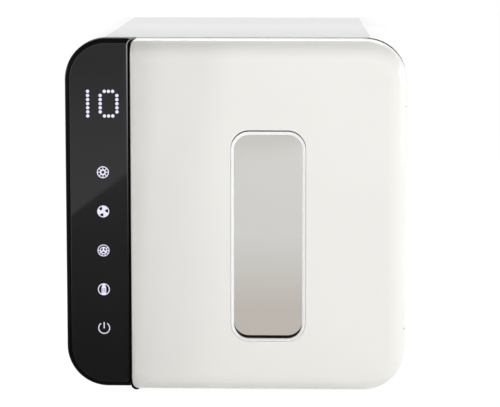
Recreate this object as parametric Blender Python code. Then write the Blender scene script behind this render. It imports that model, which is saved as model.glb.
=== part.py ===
"""Countertop bottle sterilizer: a cabinet with a control strip and a side-hinged door.

Sizes are in metres. The front faces -Y, +X is to the right and the feet stand on z = 0.
"""

import collections
import math

import bmesh
import bpy
from mathutils import Matrix

# Cabinet
CABINET_WIDTH = 0.330
CABINET_HEIGHT = 0.341
BODY_DEPTH = 0.298
CORNER_RADIUS = 0.040
SHELL_WALL = 0.0025
FRAME_THICKNESS = 0.008
REAR_WALL = 0.0025

# Feet
FOOT_HEIGHT = 0.005
FOOT_RADIUS = 0.013
FOOT_TAPER = 0.0015
FOOT_SIDE_INSET = 0.062
FOOT_END_INSET = 0.040

# Clearances
GAP = 0.0003
OVERCUT = 0.002

# Door
DOOR_DEPTH = 0.028
DOOR_GAP = 0.0015
DOOR_WALL = 0.0026
DOOR_ROLL = 0.018
DOOR_FREE_ROLL = 0.003
DOOR_FREE_CORNER = 0.006
DOOR_LINER_THICKNESS = 0.0025
LATCH_STILE = 0.014
HINGE_STILE = 0.026

# Window in the door
WINDOW_WIDTH = 0.0728
WINDOW_HEIGHT = 0.204
WINDOW_LIFT = 0.050
WINDOW_RADIUS = 0.0175
BEZEL_FACE = 0.0038
BEZEL_DEPTH = 0.0045
BEZEL_CHAMFER = 0.0024
GLASS_THICKNESS = 0.003
WINDOW_LEDGE = 0.002
WINDOW_BOSS_WALL = 0.0025

# Control strip
PANEL_WIDTH = 0.062
PANEL_DOOR_GAP = 0.0012
PANEL_SETBACK = 0.0142
PANEL_EDGE_ROLL = 0.004
PANEL_INNER_ROLL = 0.001
PANEL_INNER_CORNER = 0.003
PANEL_WALL = 0.0025
PANEL_RIM = 0.0046
PANEL_INNER_RIM = 0.0012
PANEL_GLASS_THICKNESS = 0.002
CONTROL_COLUMN = 0.0367
BOARD_THICKNESS = 0.0016
DISPLAY_WIDTH = 0.036
DISPLAY_HEIGHT = 0.034
DISPLAY_DROP = 0.0647
KEY_WIDTH = 0.018
KEY_PITCH = 0.0376
KEY_COUNT = 5
FIRST_KEY_DROP = 0.131
BOARD_MARGIN = 0.003
CABLE_HOLE_WIDTH = 0.024
CABLE_HOLE_HEIGHT = 0.060

# Chamber
CHAMBER_LATCH_MARGIN = 0.024
CHAMBER_HINGE_MARGIN = 0.032
CHAMBER_FLOOR_MARGIN = 0.026
CHAMBER_CEILING_MARGIN = 0.026
CHAMBER_RADIUS = 0.016
LINER_WALL = 0.0015
LINER_FLANGE = 0.006
SEAL_OFFSET = 0.003
SEAL_WIDTH = 0.005
SEAL_GROOVE = 0.003
AIR_SLOT_COUNT = 6
AIR_SLOT_WIDTH = 0.060
AIR_SLOT_HEIGHT = 0.0045
AIR_SLOT_PITCH = 0.010

# Racks and drip tray
RACK_THICKNESS = 0.004
RACK_SIDE_GAP = 0.0015
RACK_TRAVEL = 0.012
RACK_DOOR_MARGIN = 0.004
RACK_REAR_MARGIN = 0.010
RACK_LEVEL = 0.168
RACK_BORDER = 0.012
RACK_SLOT_COUNT = 9
RACK_BAR = 0.006
RAIL_WIDTH = 0.008
RAIL_HEIGHT = 0.005
TRAY_HEIGHT = 0.014
TRAY_WALL = 0.002

# Lamp
LAMP_RADIUS = 0.0078
LAMP_DROP = 0.017
LAMP_HOLDER_WIDTH = 0.014
LAMP_HOLDER_SIZE = 0.024
LAMP_HOLDER_INSET = 0.022
LAMP_END_DEPTH = 0.009

# Air path behind the chamber
DUCT_SIZE = 0.088
DUCT_WALL = 0.002
DUCT_LENGTH = 0.020
HEATER_DEPTH = 0.014
HEATER_FIN_COUNT = 8
HEATER_FIN = 0.002
HEATER_RIM = 0.006
FAN_DEPTH = 0.016
FAN_WALL = 0.003
FAN_TIP_GAP = 0.002
FAN_END_GAP = 0.002
HUB_RADIUS = 0.015
SHAFT_RADIUS = 0.002
BLADE_COUNT = 7
BLADE_THICKNESS = 0.0014
BLADE_PITCH_DEG = 38.0
BLADE_HUB_SINK = 0.003
MOTOR_DEPTH = 0.005
MOTOR_ARM_WIDTH = 0.005
FILTER_SIZE = 0.078
FILTER_DEPTH = 0.012
FILTER_SERVICE_GAP = 0.004
FILTER_COVER_SIZE = 0.096
FILTER_COVER_THICKNESS = 0.0024
FILTER_COVER_RADIUS = 0.008
FILTER_SLOT_COUNT = 9
FILTER_SLOT_HEIGHT = 0.004
FILTER_SLOT_PITCH = 0.0078
FILTER_SLOT_MARGIN = 0.012

# Hinges and catch
HINGE_RADIUS = 0.009
HINGE_OPEN_DEG = 105.0
HINGE_CORNER_CLEARANCE = 0.022
HINGE_ARM_HALF = 0.004
HINGE_ARM_THICKNESS = 0.006
HINGE_ARM_PLAY = 0.0006
HINGE_BASE_THICKNESS = 0.003
HINGE_BASE_CLEARANCE = 0.0015
HINGE_NOTCH_CLEARANCE = 0.001
PIN_RADIUS = 0.002
PIN_ENGAGEMENT = 0.010
MAGNET_WIDTH = 0.008
MAGNET_HEIGHT = 0.040
MAGNET_DEPTH = 0.005
CATCH_DEPTH = 0.003
SENSOR_DEPTH = 0.010
SENSOR_HEIGHT = 0.026

# Posts and screws
POST_RADIUS = 0.0045
POST_CLEARANCE = 0.0012
SCREW_RADIUS = 0.0017
SCREW_LENGTH = 0.012
SCREW_HEAD_RADIUS = 0.0036
SCREW_HEAD_HEIGHT = 0.0018
SCREW_END_PLAY = 0.001

# Electronics bay and mains socket
MAIN_BOARD_DEPTH = 0.120
MAIN_BOARD_HEIGHT = 0.130
MAIN_BOARD_STANDOFF = 0.008
MAIN_BOARD_LIFT = 0.120
SPACER_RADIUS = 0.003
SPACER_INSET = 0.008
SUPPLY_WIDTH = 0.036
SUPPLY_DEPTH = 0.090
SUPPLY_HEIGHT = 0.050
SUPPLY_LINER_GAP = 0.004
INLET_WIDTH = 0.026
INLET_HEIGHT = 0.017
INLET_FLANGE = 0.003
INLET_FLANGE_THICKNESS = 0.0018
INLET_DEPTH = 0.024
INLET_WALL = 0.003
INLET_SOCKET_DEPTH = 0.014
INLET_SIDE_INSET = 0.046
INLET_LIFT = 0.040
VENT_COUNT = 9
VENT_WIDTH = 0.004
VENT_HEIGHT = 0.030
VENT_PITCH = 0.009
VENT_DROP = 0.030

# Facets
CORNER_STEPS = 8
ROLL_STEPS = 7
ROUND_SIDES = 32
SMALL_SIDES = 20
SMOOTH_ANGLE = math.radians(32.0)

# Places that follow from the sizes
Rect = collections.namedtuple("Rect", "left right bottom top")

COVER_REACH = GAP + FILTER_COVER_THICKNESS
FRONT_Y = -(DOOR_DEPTH + DOOR_GAP + BODY_DEPTH + COVER_REACH) / 2
DOOR_REAR_Y = FRONT_Y + DOOR_DEPTH
FACE_Y = DOOR_REAR_Y + DOOR_GAP
REAR_Y = FACE_Y + BODY_DEPTH
REAR_INSIDE_Y = REAR_Y - REAR_WALL
FRAME_REAR_Y = FACE_Y + FRAME_THICKNESS
CABINET = Rect(-CABINET_WIDTH / 2, CABINET_WIDTH / 2, FOOT_HEIGHT, FOOT_HEIGHT + CABINET_HEIGHT)

PANEL = Rect(CABINET.left, CABINET.left + PANEL_WIDTH, CABINET.bottom, CABINET.top)
PANEL_FRONT_Y = FRONT_Y + PANEL_SETBACK
PANEL_REAR_Y = FACE_Y - GAP
PANEL_GLASS_REAR_Y = PANEL_FRONT_Y + PANEL_GLASS_THICKNESS
PANEL_SEAT_Y = PANEL_GLASS_REAR_Y + GAP
PANEL_INSIDE_Y = PANEL_SEAT_Y + PANEL_WALL
CONTROL_X = PANEL.left + CONTROL_COLUMN
DISPLAY_Z = PANEL.top - DISPLAY_DROP
FIRST_KEY_Z = PANEL.top - FIRST_KEY_DROP
LAST_KEY_Z = FIRST_KEY_Z - (KEY_COUNT - 1) * KEY_PITCH

DOOR = Rect(PANEL.right + PANEL_DOOR_GAP, CABINET.right, CABINET.bottom, CABINET.top)
DOOR_LINER_FRONT_Y = DOOR_REAR_Y - DOOR_LINER_THICKNESS
WINDOW_X = (DOOR.left + DOOR.right) / 2
WINDOW_Z = DOOR.bottom + WINDOW_LIFT + WINDOW_HEIGHT / 2
HINGE_X = DOOR.right - HINGE_RADIUS
HINGE_Y = DOOR_REAR_Y - HINGE_RADIUS
HINGE_INSET = CORNER_RADIUS + HINGE_CORNER_CLEARANCE

CHAMBER = Rect(
    DOOR.left + CHAMBER_LATCH_MARGIN,
    CABINET.right - CHAMBER_HINGE_MARGIN,
    CABINET.bottom + CHAMBER_FLOOR_MARGIN,
    CABINET.top - CHAMBER_CEILING_MARGIN,
)
CHAMBER_X = (CHAMBER.left + CHAMBER.right) / 2
CHAMBER_Z = (CHAMBER.bottom + CHAMBER.top) / 2
LINER_FRONT_Y = FRAME_REAR_Y + GAP
FILTER_FRONT_Y = REAR_Y - FILTER_DEPTH
MOTOR_REAR_Y = FILTER_FRONT_Y - FILTER_SERVICE_GAP
MOTOR_FRONT_Y = MOTOR_REAR_Y - MOTOR_DEPTH
FAN_REAR_Y = MOTOR_FRONT_Y - GAP
FAN_FRONT_Y = FAN_REAR_Y - FAN_DEPTH
DUCT_REAR_Y = FAN_FRONT_Y - GAP
DUCT_FRONT_Y = DUCT_REAR_Y - DUCT_LENGTH
LINER_REAR_Y = DUCT_FRONT_Y - GAP
CHAMBER_REAR_Y = LINER_REAR_Y - LINER_WALL
LINER_LEFT = CHAMBER.left - LINER_WALL
FLANGE_RIGHT = CHAMBER.right + LINER_WALL + LINER_FLANGE

# Material colours (linear), roughness and metallic value
WARM_WHITE = ((0.80, 0.78, 0.74), 0.28, 0.0)
CASING_GREY = ((0.72, 0.72, 0.71), 0.36, 0.0)
PIANO_BLACK = ((0.010, 0.010, 0.011), 0.12, 0.0)
DARK_GREY = ((0.055, 0.055, 0.058), 0.50, 0.0)
MIRROR_GLASS = ((0.62, 0.61, 0.58), 0.10, 0.9)
BRIGHT_STEEL = ((0.66, 0.66, 0.66), 0.22, 1.0)
ZINC = ((0.55, 0.56, 0.58), 0.35, 1.0)
SOFT_GREY = ((0.30, 0.30, 0.31), 0.75, 0.0)
RUBBER = ((0.030, 0.030, 0.032), 0.80, 0.0)
BOARD_GREEN = ((0.020, 0.120, 0.055), 0.45, 0.0)
LAMP_WHITE = ((0.75, 0.78, 0.84), 0.15, 0.0)
RACK_WHITE = ((0.78, 0.78, 0.77), 0.40, 0.0)
FILTER_FLEECE = ((0.70, 0.70, 0.66), 0.95, 0.0)
DISPLAY_GREY = ((0.35, 0.36, 0.42), 0.40, 0.0)


def clear_scene():
    """Remove everything that the scene holds."""
    for existing in list(bpy.data.objects):
        bpy.data.objects.remove(existing, do_unlink=True)


def finish(name, mesh, finish_values=None):
    """Turn an edit mesh into a named object, with its own material where it has one."""
    data = bpy.data.meshes.new(name)
    mesh.to_mesh(data)
    mesh.free()
    data.shade_smooth()
    data.set_sharp_from_angle(angle=SMOOTH_ANGLE)
    item = bpy.data.objects.new(name, data)
    bpy.context.scene.collection.objects.link(item)
    if finish_values is not None:
        colour, roughness, metallic = finish_values
        coat = bpy.data.materials.new(name)
        coat.use_nodes = True
        shader = coat.node_tree.nodes["Principled BSDF"]
        shader.inputs["Base Color"].default_value = (*colour, 1.0)
        shader.inputs["Roughness"].default_value = roughness
        shader.inputs["Metallic"].default_value = metallic
        data.materials.append(coat)
    return item


def grown(rect, amount):
    """The rectangle with every side moved out by an amount."""
    return Rect(rect.left - amount, rect.right + amount, rect.bottom - amount, rect.top + amount)


def centred(x, z, width, height):
    """A rectangle about a centre."""
    return Rect(x - width / 2, x + width / 2, z - height / 2, z + height / 2)


def quarter_arc(x, z, radius, start_deg):
    """Points of a quarter circle, anticlockwise."""
    points = []
    for step in range(CORNER_STEPS + 1):
        angle = math.radians(start_deg + 90.0 * step / CORNER_STEPS)
        points.append((x + radius * math.cos(angle), z + radius * math.sin(angle)))
    return points


def rounded(rect, left_radius, right_radius=None):
    """The outline of a rectangle whose left and right corners have their own radii."""
    if right_radius is None:
        right_radius = left_radius
    right_x = rect.right - right_radius
    left_x = rect.left + left_radius
    points = quarter_arc(right_x, rect.bottom + right_radius, right_radius, 270.0)
    points += quarter_arc(right_x, rect.top - right_radius, right_radius, 0.0)
    points += quarter_arc(left_x, rect.top - left_radius, left_radius, 90.0)
    points += quarter_arc(left_x, rect.bottom + left_radius, left_radius, 180.0)
    return points


def bridge(mesh, first, second):
    """Quads between two rings of vertices."""
    for index, vertex in enumerate(first):
        follow = (index + 1) % len(first)
        mesh.faces.new((vertex, first[follow], second[follow], second[index]))


def vertex_rings(mesh, levels):
    """One ring of vertices for each (y, outline) level."""
    rings = []
    for y, outline in levels:
        rings.append([mesh.verts.new((x, y, z)) for x, z in outline])
    return rings


def loft(name, levels, finish_values=None):
    """A closed solid through outlines at successive depths, capped at both ends."""
    mesh = bmesh.new()
    rings = vertex_rings(mesh, levels)
    for first, second in zip(rings, rings[1:]):
        bridge(mesh, first, second)
    mesh.faces.new(rings[0])
    mesh.faces.new(rings[-1])
    bmesh.ops.recalc_face_normals(mesh, faces=mesh.faces)
    return finish(name, mesh, finish_values)


def ring_loft(name, levels, finish_values=None):
    """A closed ring whose section runs once round the given levels."""
    mesh = bmesh.new()
    rings = vertex_rings(mesh, levels)
    for first, second in zip(rings, rings[1:] + rings[:1]):
        bridge(mesh, first, second)
    bmesh.ops.recalc_face_normals(mesh, faces=mesh.faces)
    return finish(name, mesh, finish_values)


def prism(name, outline, front_y, rear_y, finish_values=None):
    """A straight bar of the outline between two depths."""
    return loft(name, [(front_y, outline), (rear_y, outline)], finish_values)


def slab(name, rect, front_y, rear_y, finish_values=None):
    """A plain block filling a rectangle between two depths."""
    return boxes(name, [(rect, front_y, rear_y)], finish_values)


def boxes(name, blocks, finish_values=None):
    """Plain blocks in one mesh, each a (rectangle, front y, rear y)."""
    mesh = bmesh.new()
    for rect, front_y, rear_y in blocks:
        size = (rect.right - rect.left, rear_y - front_y, rect.top - rect.bottom)
        centre = ((rect.left + rect.right) / 2, (front_y + rear_y) / 2, (rect.bottom + rect.top) / 2)
        bmesh.ops.create_cube(mesh, matrix=Matrix.Translation(centre) @ Matrix.Diagonal((*size, 1.0)))
    return finish(name, mesh, finish_values)


def rod(name, axis, start, end, radius, sides, finish_values=None, end_radius=None):
    """A round bar between two points that differ along one axis only."""
    mesh = bmesh.new()
    middle = [(low + high) / 2 for low, high in zip(start, end)]
    length = math.dist(start, end)
    turn = {
        "X": Matrix.Rotation(math.pi / 2, 4, "Y"),
        "Y": Matrix.Rotation(-math.pi / 2, 4, "X"),
        "Z": Matrix.Identity(4),
    }[axis]
    bmesh.ops.create_cone(
        mesh,
        cap_ends=True,
        segments=sides,
        radius1=radius,
        radius2=radius if end_radius is None else end_radius,
        depth=length,
        matrix=Matrix.Translation(middle) @ turn,
    )
    return finish(name, mesh, finish_values)


def combine(target, tool, operation):
    """Join or cut one object with another, which then counts as a guide."""
    step = target.modifiers.new(tool.name, "BOOLEAN")
    step.operation = operation
    step.solver = "EXACT"
    step.object = tool
    tool.hide_render = True
    tool.display_type = "WIRE"


def cut(target, tool):
    """Take the tool's shape out of the target."""
    combine(target, tool, "DIFFERENCE")


def join(target, tool):
    """Add the tool's shape to the target."""
    combine(target, tool, "UNION")


def pivot(name, place):
    """An empty on a joint's axis."""
    empty = bpy.data.objects.new(name, None)
    empty.location = place
    bpy.context.scene.collection.objects.link(empty)
    return empty


def carry(empty, items):
    """Parent pieces to a joint's empty without moving them."""
    for item in items:
        item.parent = empty
        item.matrix_parent_inverse = Matrix.Translation(-empty.location)


def corner_places(inset_x, inset_z):
    """Four places set in from the cabinet's sides, with their numbers."""
    places = []
    for x in (CABINET.left + inset_x, CABINET.right - inset_x):
        for z in (CABINET.bottom + inset_z, CABINET.top - inset_z):
            places.append((len(places) + 1, x, z))
    return places


def post_inset():
    """How far the posts stand in from two sides, along the corner's diagonal."""
    reach = CORNER_RADIUS - SHELL_WALL - POST_CLEARANCE - POST_RADIUS
    return CORNER_RADIUS - reach / math.sqrt(2.0)


def build_casing():
    """The wrap-round shell, the front frame, the rear cover, and what holds them together."""
    outside = rounded(CABINET, CORNER_RADIUS)
    inside = rounded(grown(CABINET, -SHELL_WALL), CORNER_RADIUS - SHELL_WALL)
    fitted = rounded(grown(CABINET, -SHELL_WALL - GAP), CORNER_RADIUS - SHELL_WALL - GAP)
    ring_loft(
        "housing_shell",
        [(FACE_Y, outside), (REAR_Y, outside), (REAR_Y, inside), (FACE_Y, inside)],
        CASING_GREY,
    )
    frame = prism("front_frame", fitted, FACE_Y, FRAME_REAR_Y, DARK_GREY)
    cover = prism("rear_cover", fitted, REAR_INSIDE_Y, REAR_Y, CASING_GREY)
    build_posts(cover)
    build_feet()
    return frame, cover


def build_posts(cover):
    """Posts from the front frame to the rear cover, and the screws that hold the cover on them."""
    inset = post_inset()
    for number, x, z in corner_places(inset, inset):
        start = (x, FRAME_REAR_Y + GAP, z)
        end = (x, REAR_INSIDE_Y - GAP, z)
        post = rod(f"corner_post_{number}", "Y", start, end, POST_RADIUS, SMALL_SIDES, ZINC)
        tip_y = REAR_Y + GAP - SCREW_LENGTH
        bore_y = tip_y - SCREW_END_PLAY
        bore = rod(
            f"screw_bore_{number}", "Y", (x, bore_y, z), (x, REAR_Y + OVERCUT, z),
            SCREW_RADIUS + GAP, SMALL_SIDES,
        )
        cut(post, bore)
        cut(cover, bore)
        build_screw(number, x, z, tip_y)


def build_screw(number, x, z, tip_y):
    """A pan-head screw, driven from the back."""
    head_y = REAR_Y + GAP
    screw = rod(
        f"rear_screw_{number}", "Y", (x, head_y, z), (x, head_y + SCREW_HEAD_HEIGHT, z),
        SCREW_HEAD_RADIUS, SMALL_SIDES, ZINC,
    )
    shank_end = head_y + SCREW_HEAD_HEIGHT / 2
    join(screw, rod(f"shank_{number}", "Y", (x, tip_y, z), (x, shank_end, z), SCREW_RADIUS, SMALL_SIDES))


def build_feet():
    """Four round rubber feet under the shell."""
    number = 0
    for x in (CABINET.left + FOOT_SIDE_INSET, CABINET.right - FOOT_SIDE_INSET):
        for y in (FACE_Y + FOOT_END_INSET, REAR_Y - FOOT_END_INSET):
            number += 1
            rod(
                f"foot_{number}", "Z", (x, y, 0.0), (x, y, FOOT_HEIGHT - GAP),
                FOOT_RADIUS - FOOT_TAPER, ROUND_SIDES, RUBBER, FOOT_RADIUS,
            )


def roll_inset(distance, radius):
    """How far a rolled edge draws in, at a distance behind the front face."""
    if distance >= radius:
        return 0.0
    rise = min(radius, radius - distance)
    return radius - math.sqrt(radius * radius - rise * rise)


def roll_distances(radius):
    """Distances behind the front face that share a roll into even turns."""
    turns = [math.pi / 2 * (1 - step / ROLL_STEPS) for step in range(ROLL_STEPS + 1)]
    return [radius * (1 - math.sin(turn)) for turn in turns]


def panel_outline(distance):
    """The control strip's section at a distance behind its front face."""
    outer = roll_inset(distance, PANEL_EDGE_ROLL)
    inner = roll_inset(distance, PANEL_INNER_ROLL)
    rect = Rect(PANEL.left + outer, PANEL.right - inner, PANEL.bottom + outer, PANEL.top - outer)
    return rounded(rect, CORNER_RADIUS - outer, PANEL_INNER_CORNER)


def build_control_panel(frame):
    """The black strip beside the door, with its glass, display and touch pads."""
    depth = PANEL_REAR_Y - PANEL_FRONT_Y
    levels = [(PANEL_FRONT_Y + gone, panel_outline(gone)) for gone in roll_distances(PANEL_EDGE_ROLL)]
    levels.append((PANEL_REAR_Y, panel_outline(depth)))
    housing = loft("control_panel_housing", levels, PIANO_BLACK)
    hollow = grown(PANEL, -PANEL_WALL)
    hollow_outline = rounded(hollow, CORNER_RADIUS - PANEL_WALL, PANEL_INNER_CORNER)
    cut(housing, prism("panel_hollow", hollow_outline, PANEL_INSIDE_Y, PANEL_REAR_Y + OVERCUT))
    face = Rect(
        PANEL.left + PANEL_RIM, PANEL.right - PANEL_INNER_RIM, PANEL.bottom + PANEL_RIM, PANEL.top - PANEL_RIM
    )
    seat = rounded(grown(face, GAP), CORNER_RADIUS - PANEL_RIM + GAP, PANEL_INNER_CORNER)
    cut(housing, prism("glass_seat", seat, PANEL_FRONT_Y - OVERCUT, PANEL_SEAT_Y))
    pane = rounded(face, CORNER_RADIUS - PANEL_RIM, PANEL_INNER_CORNER)
    prism("control_panel_glass", pane, PANEL_FRONT_Y, PANEL_GLASS_REAR_Y, PIANO_BLACK)
    build_display(housing)
    hole = centred(CONTROL_X, DISPLAY_Z, CABLE_HOLE_WIDTH, CABLE_HOLE_HEIGHT)
    cut(frame, slab("cable_hole", hole, FACE_Y - OVERCUT, FRAME_REAR_Y + OVERCUT))


def build_display(housing):
    """The board behind the glass, and the two light blocks that reach through to it."""
    display = centred(CONTROL_X, DISPLAY_Z, DISPLAY_WIDTH, DISPLAY_HEIGHT)
    keys = Rect(
        CONTROL_X - KEY_WIDTH / 2,
        CONTROL_X + KEY_WIDTH / 2,
        LAST_KEY_Z - KEY_WIDTH / 2,
        FIRST_KEY_Z + KEY_WIDTH / 2,
    )
    board_front = PANEL_INSIDE_Y + GAP
    block_front = PANEL_SEAT_Y
    block_rear = board_front - GAP
    for name, block in (("led_matrix", display), ("touch_sensor_strip", keys)):
        slab(name, block, block_front, block_rear, DISPLAY_GREY)
        cut(housing, slab(f"{name}_port", grown(block, GAP), PANEL_FRONT_Y, PANEL_INSIDE_Y + OVERCUT))
    board = grown(Rect(display.left, display.right, keys.bottom, display.top), BOARD_MARGIN)
    slab("display_board", board, board_front, board_front + BOARD_THICKNESS, BOARD_GREEN)


def door_outline(y):
    """The door's section at one depth: rolled at the front, rounded about the hinge at the back."""
    roll = roll_inset(y - FRONT_Y, DOOR_ROLL)
    free_roll = roll_inset(y - FRONT_Y, DOOR_FREE_ROLL)
    hinge_roll = roll_inset(DOOR_REAR_Y - y, HINGE_RADIUS)
    right = DOOR.right - max(roll, hinge_roll)
    rect = Rect(DOOR.left + free_roll, right, DOOR.bottom + roll, DOOR.top - roll)
    return rounded(rect, DOOR_FREE_CORNER, CORNER_RADIUS - roll)


def door_hollow_outline(y, clearance=0.0):
    """The section of the hollow in the door, between its two solid stiles."""
    roll = roll_inset(y - FRONT_Y - DOOR_WALL, DOOR_ROLL - DOOR_WALL) + DOOR_WALL
    rect = Rect(DOOR.left + LATCH_STILE, DOOR.right - HINGE_STILE, DOOR.bottom + roll, DOOR.top - roll)
    return rounded(grown(rect, -clearance), DOOR_FREE_CORNER, CORNER_RADIUS - roll)


def window_outline(inset):
    """The window's rounded outline, drawn in from the ring's outer edge."""
    rect = grown(centred(WINDOW_X, WINDOW_Z, WINDOW_WIDTH, WINDOW_HEIGHT), -inset)
    return rounded(rect, WINDOW_RADIUS - inset)


def build_door_shell():
    """The white outer shell of the door, open at the back and pierced for the window."""
    front_levels = [FRONT_Y + gone for gone in roll_distances(DOOR_ROLL)]
    rear_levels = [DOOR_REAR_Y - gone for gone in reversed(roll_distances(HINGE_RADIUS))]
    levels = [(y, door_outline(y)) for y in sorted(front_levels + rear_levels)]
    shell = loft("door_shell", levels, WARM_WHITE)
    inner_levels = [FRONT_Y + DOOR_WALL + gone for gone in roll_distances(DOOR_ROLL - DOOR_WALL)]
    hollow_levels = [(y, door_hollow_outline(y)) for y in inner_levels]
    hollow_levels.append((DOOR_REAR_Y + OVERCUT, door_hollow_outline(DOOR_REAR_Y)))
    hollow = loft("door_hollow", hollow_levels)
    boss = window_outline(-GAP - WINDOW_BOSS_WALL)
    cut(hollow, prism("window_boss", boss, FRONT_Y, DOOR_LINER_FRONT_Y - GAP))
    cut(shell, hollow)
    return shell


def build_window(shell):
    """The bevelled ring and the mirrored pane, seated on a ledge in the door."""
    bezel_rear = FRONT_Y + BEZEL_DEPTH
    pane_front = bezel_rear + GAP
    pane_rear = pane_front + GLASS_THICKNESS
    rim = window_outline(0.0)
    sight = window_outline(BEZEL_FACE)
    bevel = window_outline(BEZEL_FACE - BEZEL_CHAMFER)
    bezel = ring_loft(
        "window_bezel",
        [
            (FRONT_Y, rim),
            (bezel_rear, rim),
            (bezel_rear, sight),
            (FRONT_Y + BEZEL_CHAMFER, sight),
            (FRONT_Y, bevel),
        ],
        WARM_WHITE,
    )
    pane = prism("window_glass", rim, pane_front, pane_rear, MIRROR_GLASS)
    cut(shell, prism("window_seat", window_outline(-GAP), FRONT_Y - OVERCUT, pane_rear + GAP))
    view = window_outline(BEZEL_FACE + WINDOW_LEDGE)
    through = prism("window_through", view, FRONT_Y, DOOR_REAR_Y + OVERCUT)
    cut(shell, through)
    back_outline = door_hollow_outline(DOOR_REAR_Y, GAP)
    back = prism("door_liner", back_outline, DOOR_LINER_FRONT_Y, DOOR_REAR_Y, RACK_WHITE)
    cut(back, through)
    return [bezel, pane, back]


def build_catch(shell, frame):
    """The magnet in the door's free stile, its plate in the frame, and the door sensor behind."""
    x = DOOR.left + LATCH_STILE / 2
    z = (DOOR.bottom + DOOR.top) / 2
    place = centred(x, z, MAGNET_WIDTH, MAGNET_HEIGHT)
    magnet_front = DOOR_REAR_Y - MAGNET_DEPTH
    magnet = slab("door_magnet", place, magnet_front, DOOR_REAR_Y, ZINC)
    cut(shell, slab("magnet_seat", grown(place, GAP), magnet_front - GAP, DOOR_REAR_Y + OVERCUT))
    slab("catch_plate", place, FACE_Y, FACE_Y + CATCH_DEPTH, ZINC)
    cut(frame, slab("catch_seat", grown(place, GAP), FACE_Y - OVERCUT, FACE_Y + CATCH_DEPTH + GAP))
    sensor = centred(x, z, MAGNET_WIDTH, SENSOR_HEIGHT)
    sensor_front = FRAME_REAR_Y + GAP
    slab("door_sensor", sensor, sensor_front, sensor_front + SENSOR_DEPTH, DARK_GREY)
    return magnet


def build_hinges(shell, frame):
    """Two flat brackets that reach from behind the frame to the hinge axis, and their pins."""
    pins = []
    for end, z in (("lower", DOOR.bottom + HINGE_INSET), ("upper", DOOR.top - HINGE_INSET)):
        build_bracket(end, z, frame)
        pin_half = HINGE_ARM_THICKNESS / 2 + HINGE_ARM_PLAY + PIN_ENGAGEMENT
        low = (HINGE_X, HINGE_Y, z - pin_half)
        high = (HINGE_X, HINGE_Y, z + pin_half)
        pins.append(rod(f"hinge_pin_{end}", "Z", low, high, PIN_RADIUS, SMALL_SIDES, ZINC))
        bore_low = (HINGE_X, HINGE_Y, z - pin_half - GAP)
        bore_high = (HINGE_X, HINGE_Y, z + pin_half + GAP)
        cut(shell, hinge_notch(end, z))
        cut(shell, rod(f"pin_seat_{end}", "Z", bore_low, bore_high, PIN_RADIUS + GAP, SMALL_SIDES))
    return pins


def hinge_notch(end, z):
    """The slot in the door's hinge stile that the bracket turns in."""
    past_square = math.radians(HINGE_OPEN_DEG - 90.0)
    arm_rise = HINGE_RADIUS * math.sin(past_square) + HINGE_ARM_HALF * math.cos(past_square)
    depth = max(arm_rise, HINGE_ARM_HALF) + HINGE_NOTCH_CLEARANCE
    reach = HINGE_ARM_HALF + HINGE_NOTCH_CLEARANCE
    half = HINGE_ARM_THICKNESS / 2 + HINGE_ARM_PLAY
    slot = Rect(HINGE_X - reach, DOOR.right + OVERCUT, z - half, z + half)
    return slab(f"hinge_notch_{end}", slot, HINGE_Y - depth, DOOR_REAR_Y + OVERCUT)


def build_bracket(end, z, frame):
    """One bracket: a round eye on the axis, an arm through the frame and a foot behind it."""
    foot_front = FRAME_REAR_Y + GAP
    foot_rear = foot_front + HINGE_BASE_THICKNESS
    arm_left = HINGE_X - HINGE_ARM_HALF
    arm_right = HINGE_X + HINGE_ARM_HALF
    foot_left = FLANGE_RIGHT + HINGE_BASE_CLEARANCE
    half = HINGE_ARM_THICKNESS / 2
    outline = [
        (arm_left, foot_front),
        (foot_left, foot_front),
        (foot_left, foot_rear),
        (arm_right, foot_rear),
    ]
    for step in range(SMALL_SIDES // 2 + 1):
        angle = math.pi * step / (SMALL_SIDES // 2)
        across = HINGE_ARM_HALF * math.cos(angle)
        ahead = HINGE_ARM_HALF * math.sin(angle)
        outline.append((HINGE_X + across, HINGE_Y - ahead))
    mesh = bmesh.new()
    low = [mesh.verts.new((x, y, z - half)) for x, y in outline]
    high = [mesh.verts.new((x, y, z + half)) for x, y in outline]
    bridge(mesh, low, high)
    mesh.faces.new(low)
    mesh.faces.new(high)
    bmesh.ops.recalc_face_normals(mesh, faces=mesh.faces)
    bracket = finish(f"hinge_bracket_{end}", mesh, ZINC)
    eye_low = (HINGE_X, HINGE_Y, z - half - OVERCUT)
    eye_high = (HINGE_X, HINGE_Y, z + half + OVERCUT)
    cut(bracket, rod(f"hinge_eye_{end}", "Z", eye_low, eye_high, PIN_RADIUS + GAP, SMALL_SIDES))
    slot = grown(Rect(arm_left, arm_right, z - half, z + half), GAP)
    cut(frame, slab(f"hinge_slot_{end}", slot, FACE_Y - OVERCUT, FRAME_REAR_Y + OVERCUT))


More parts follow.
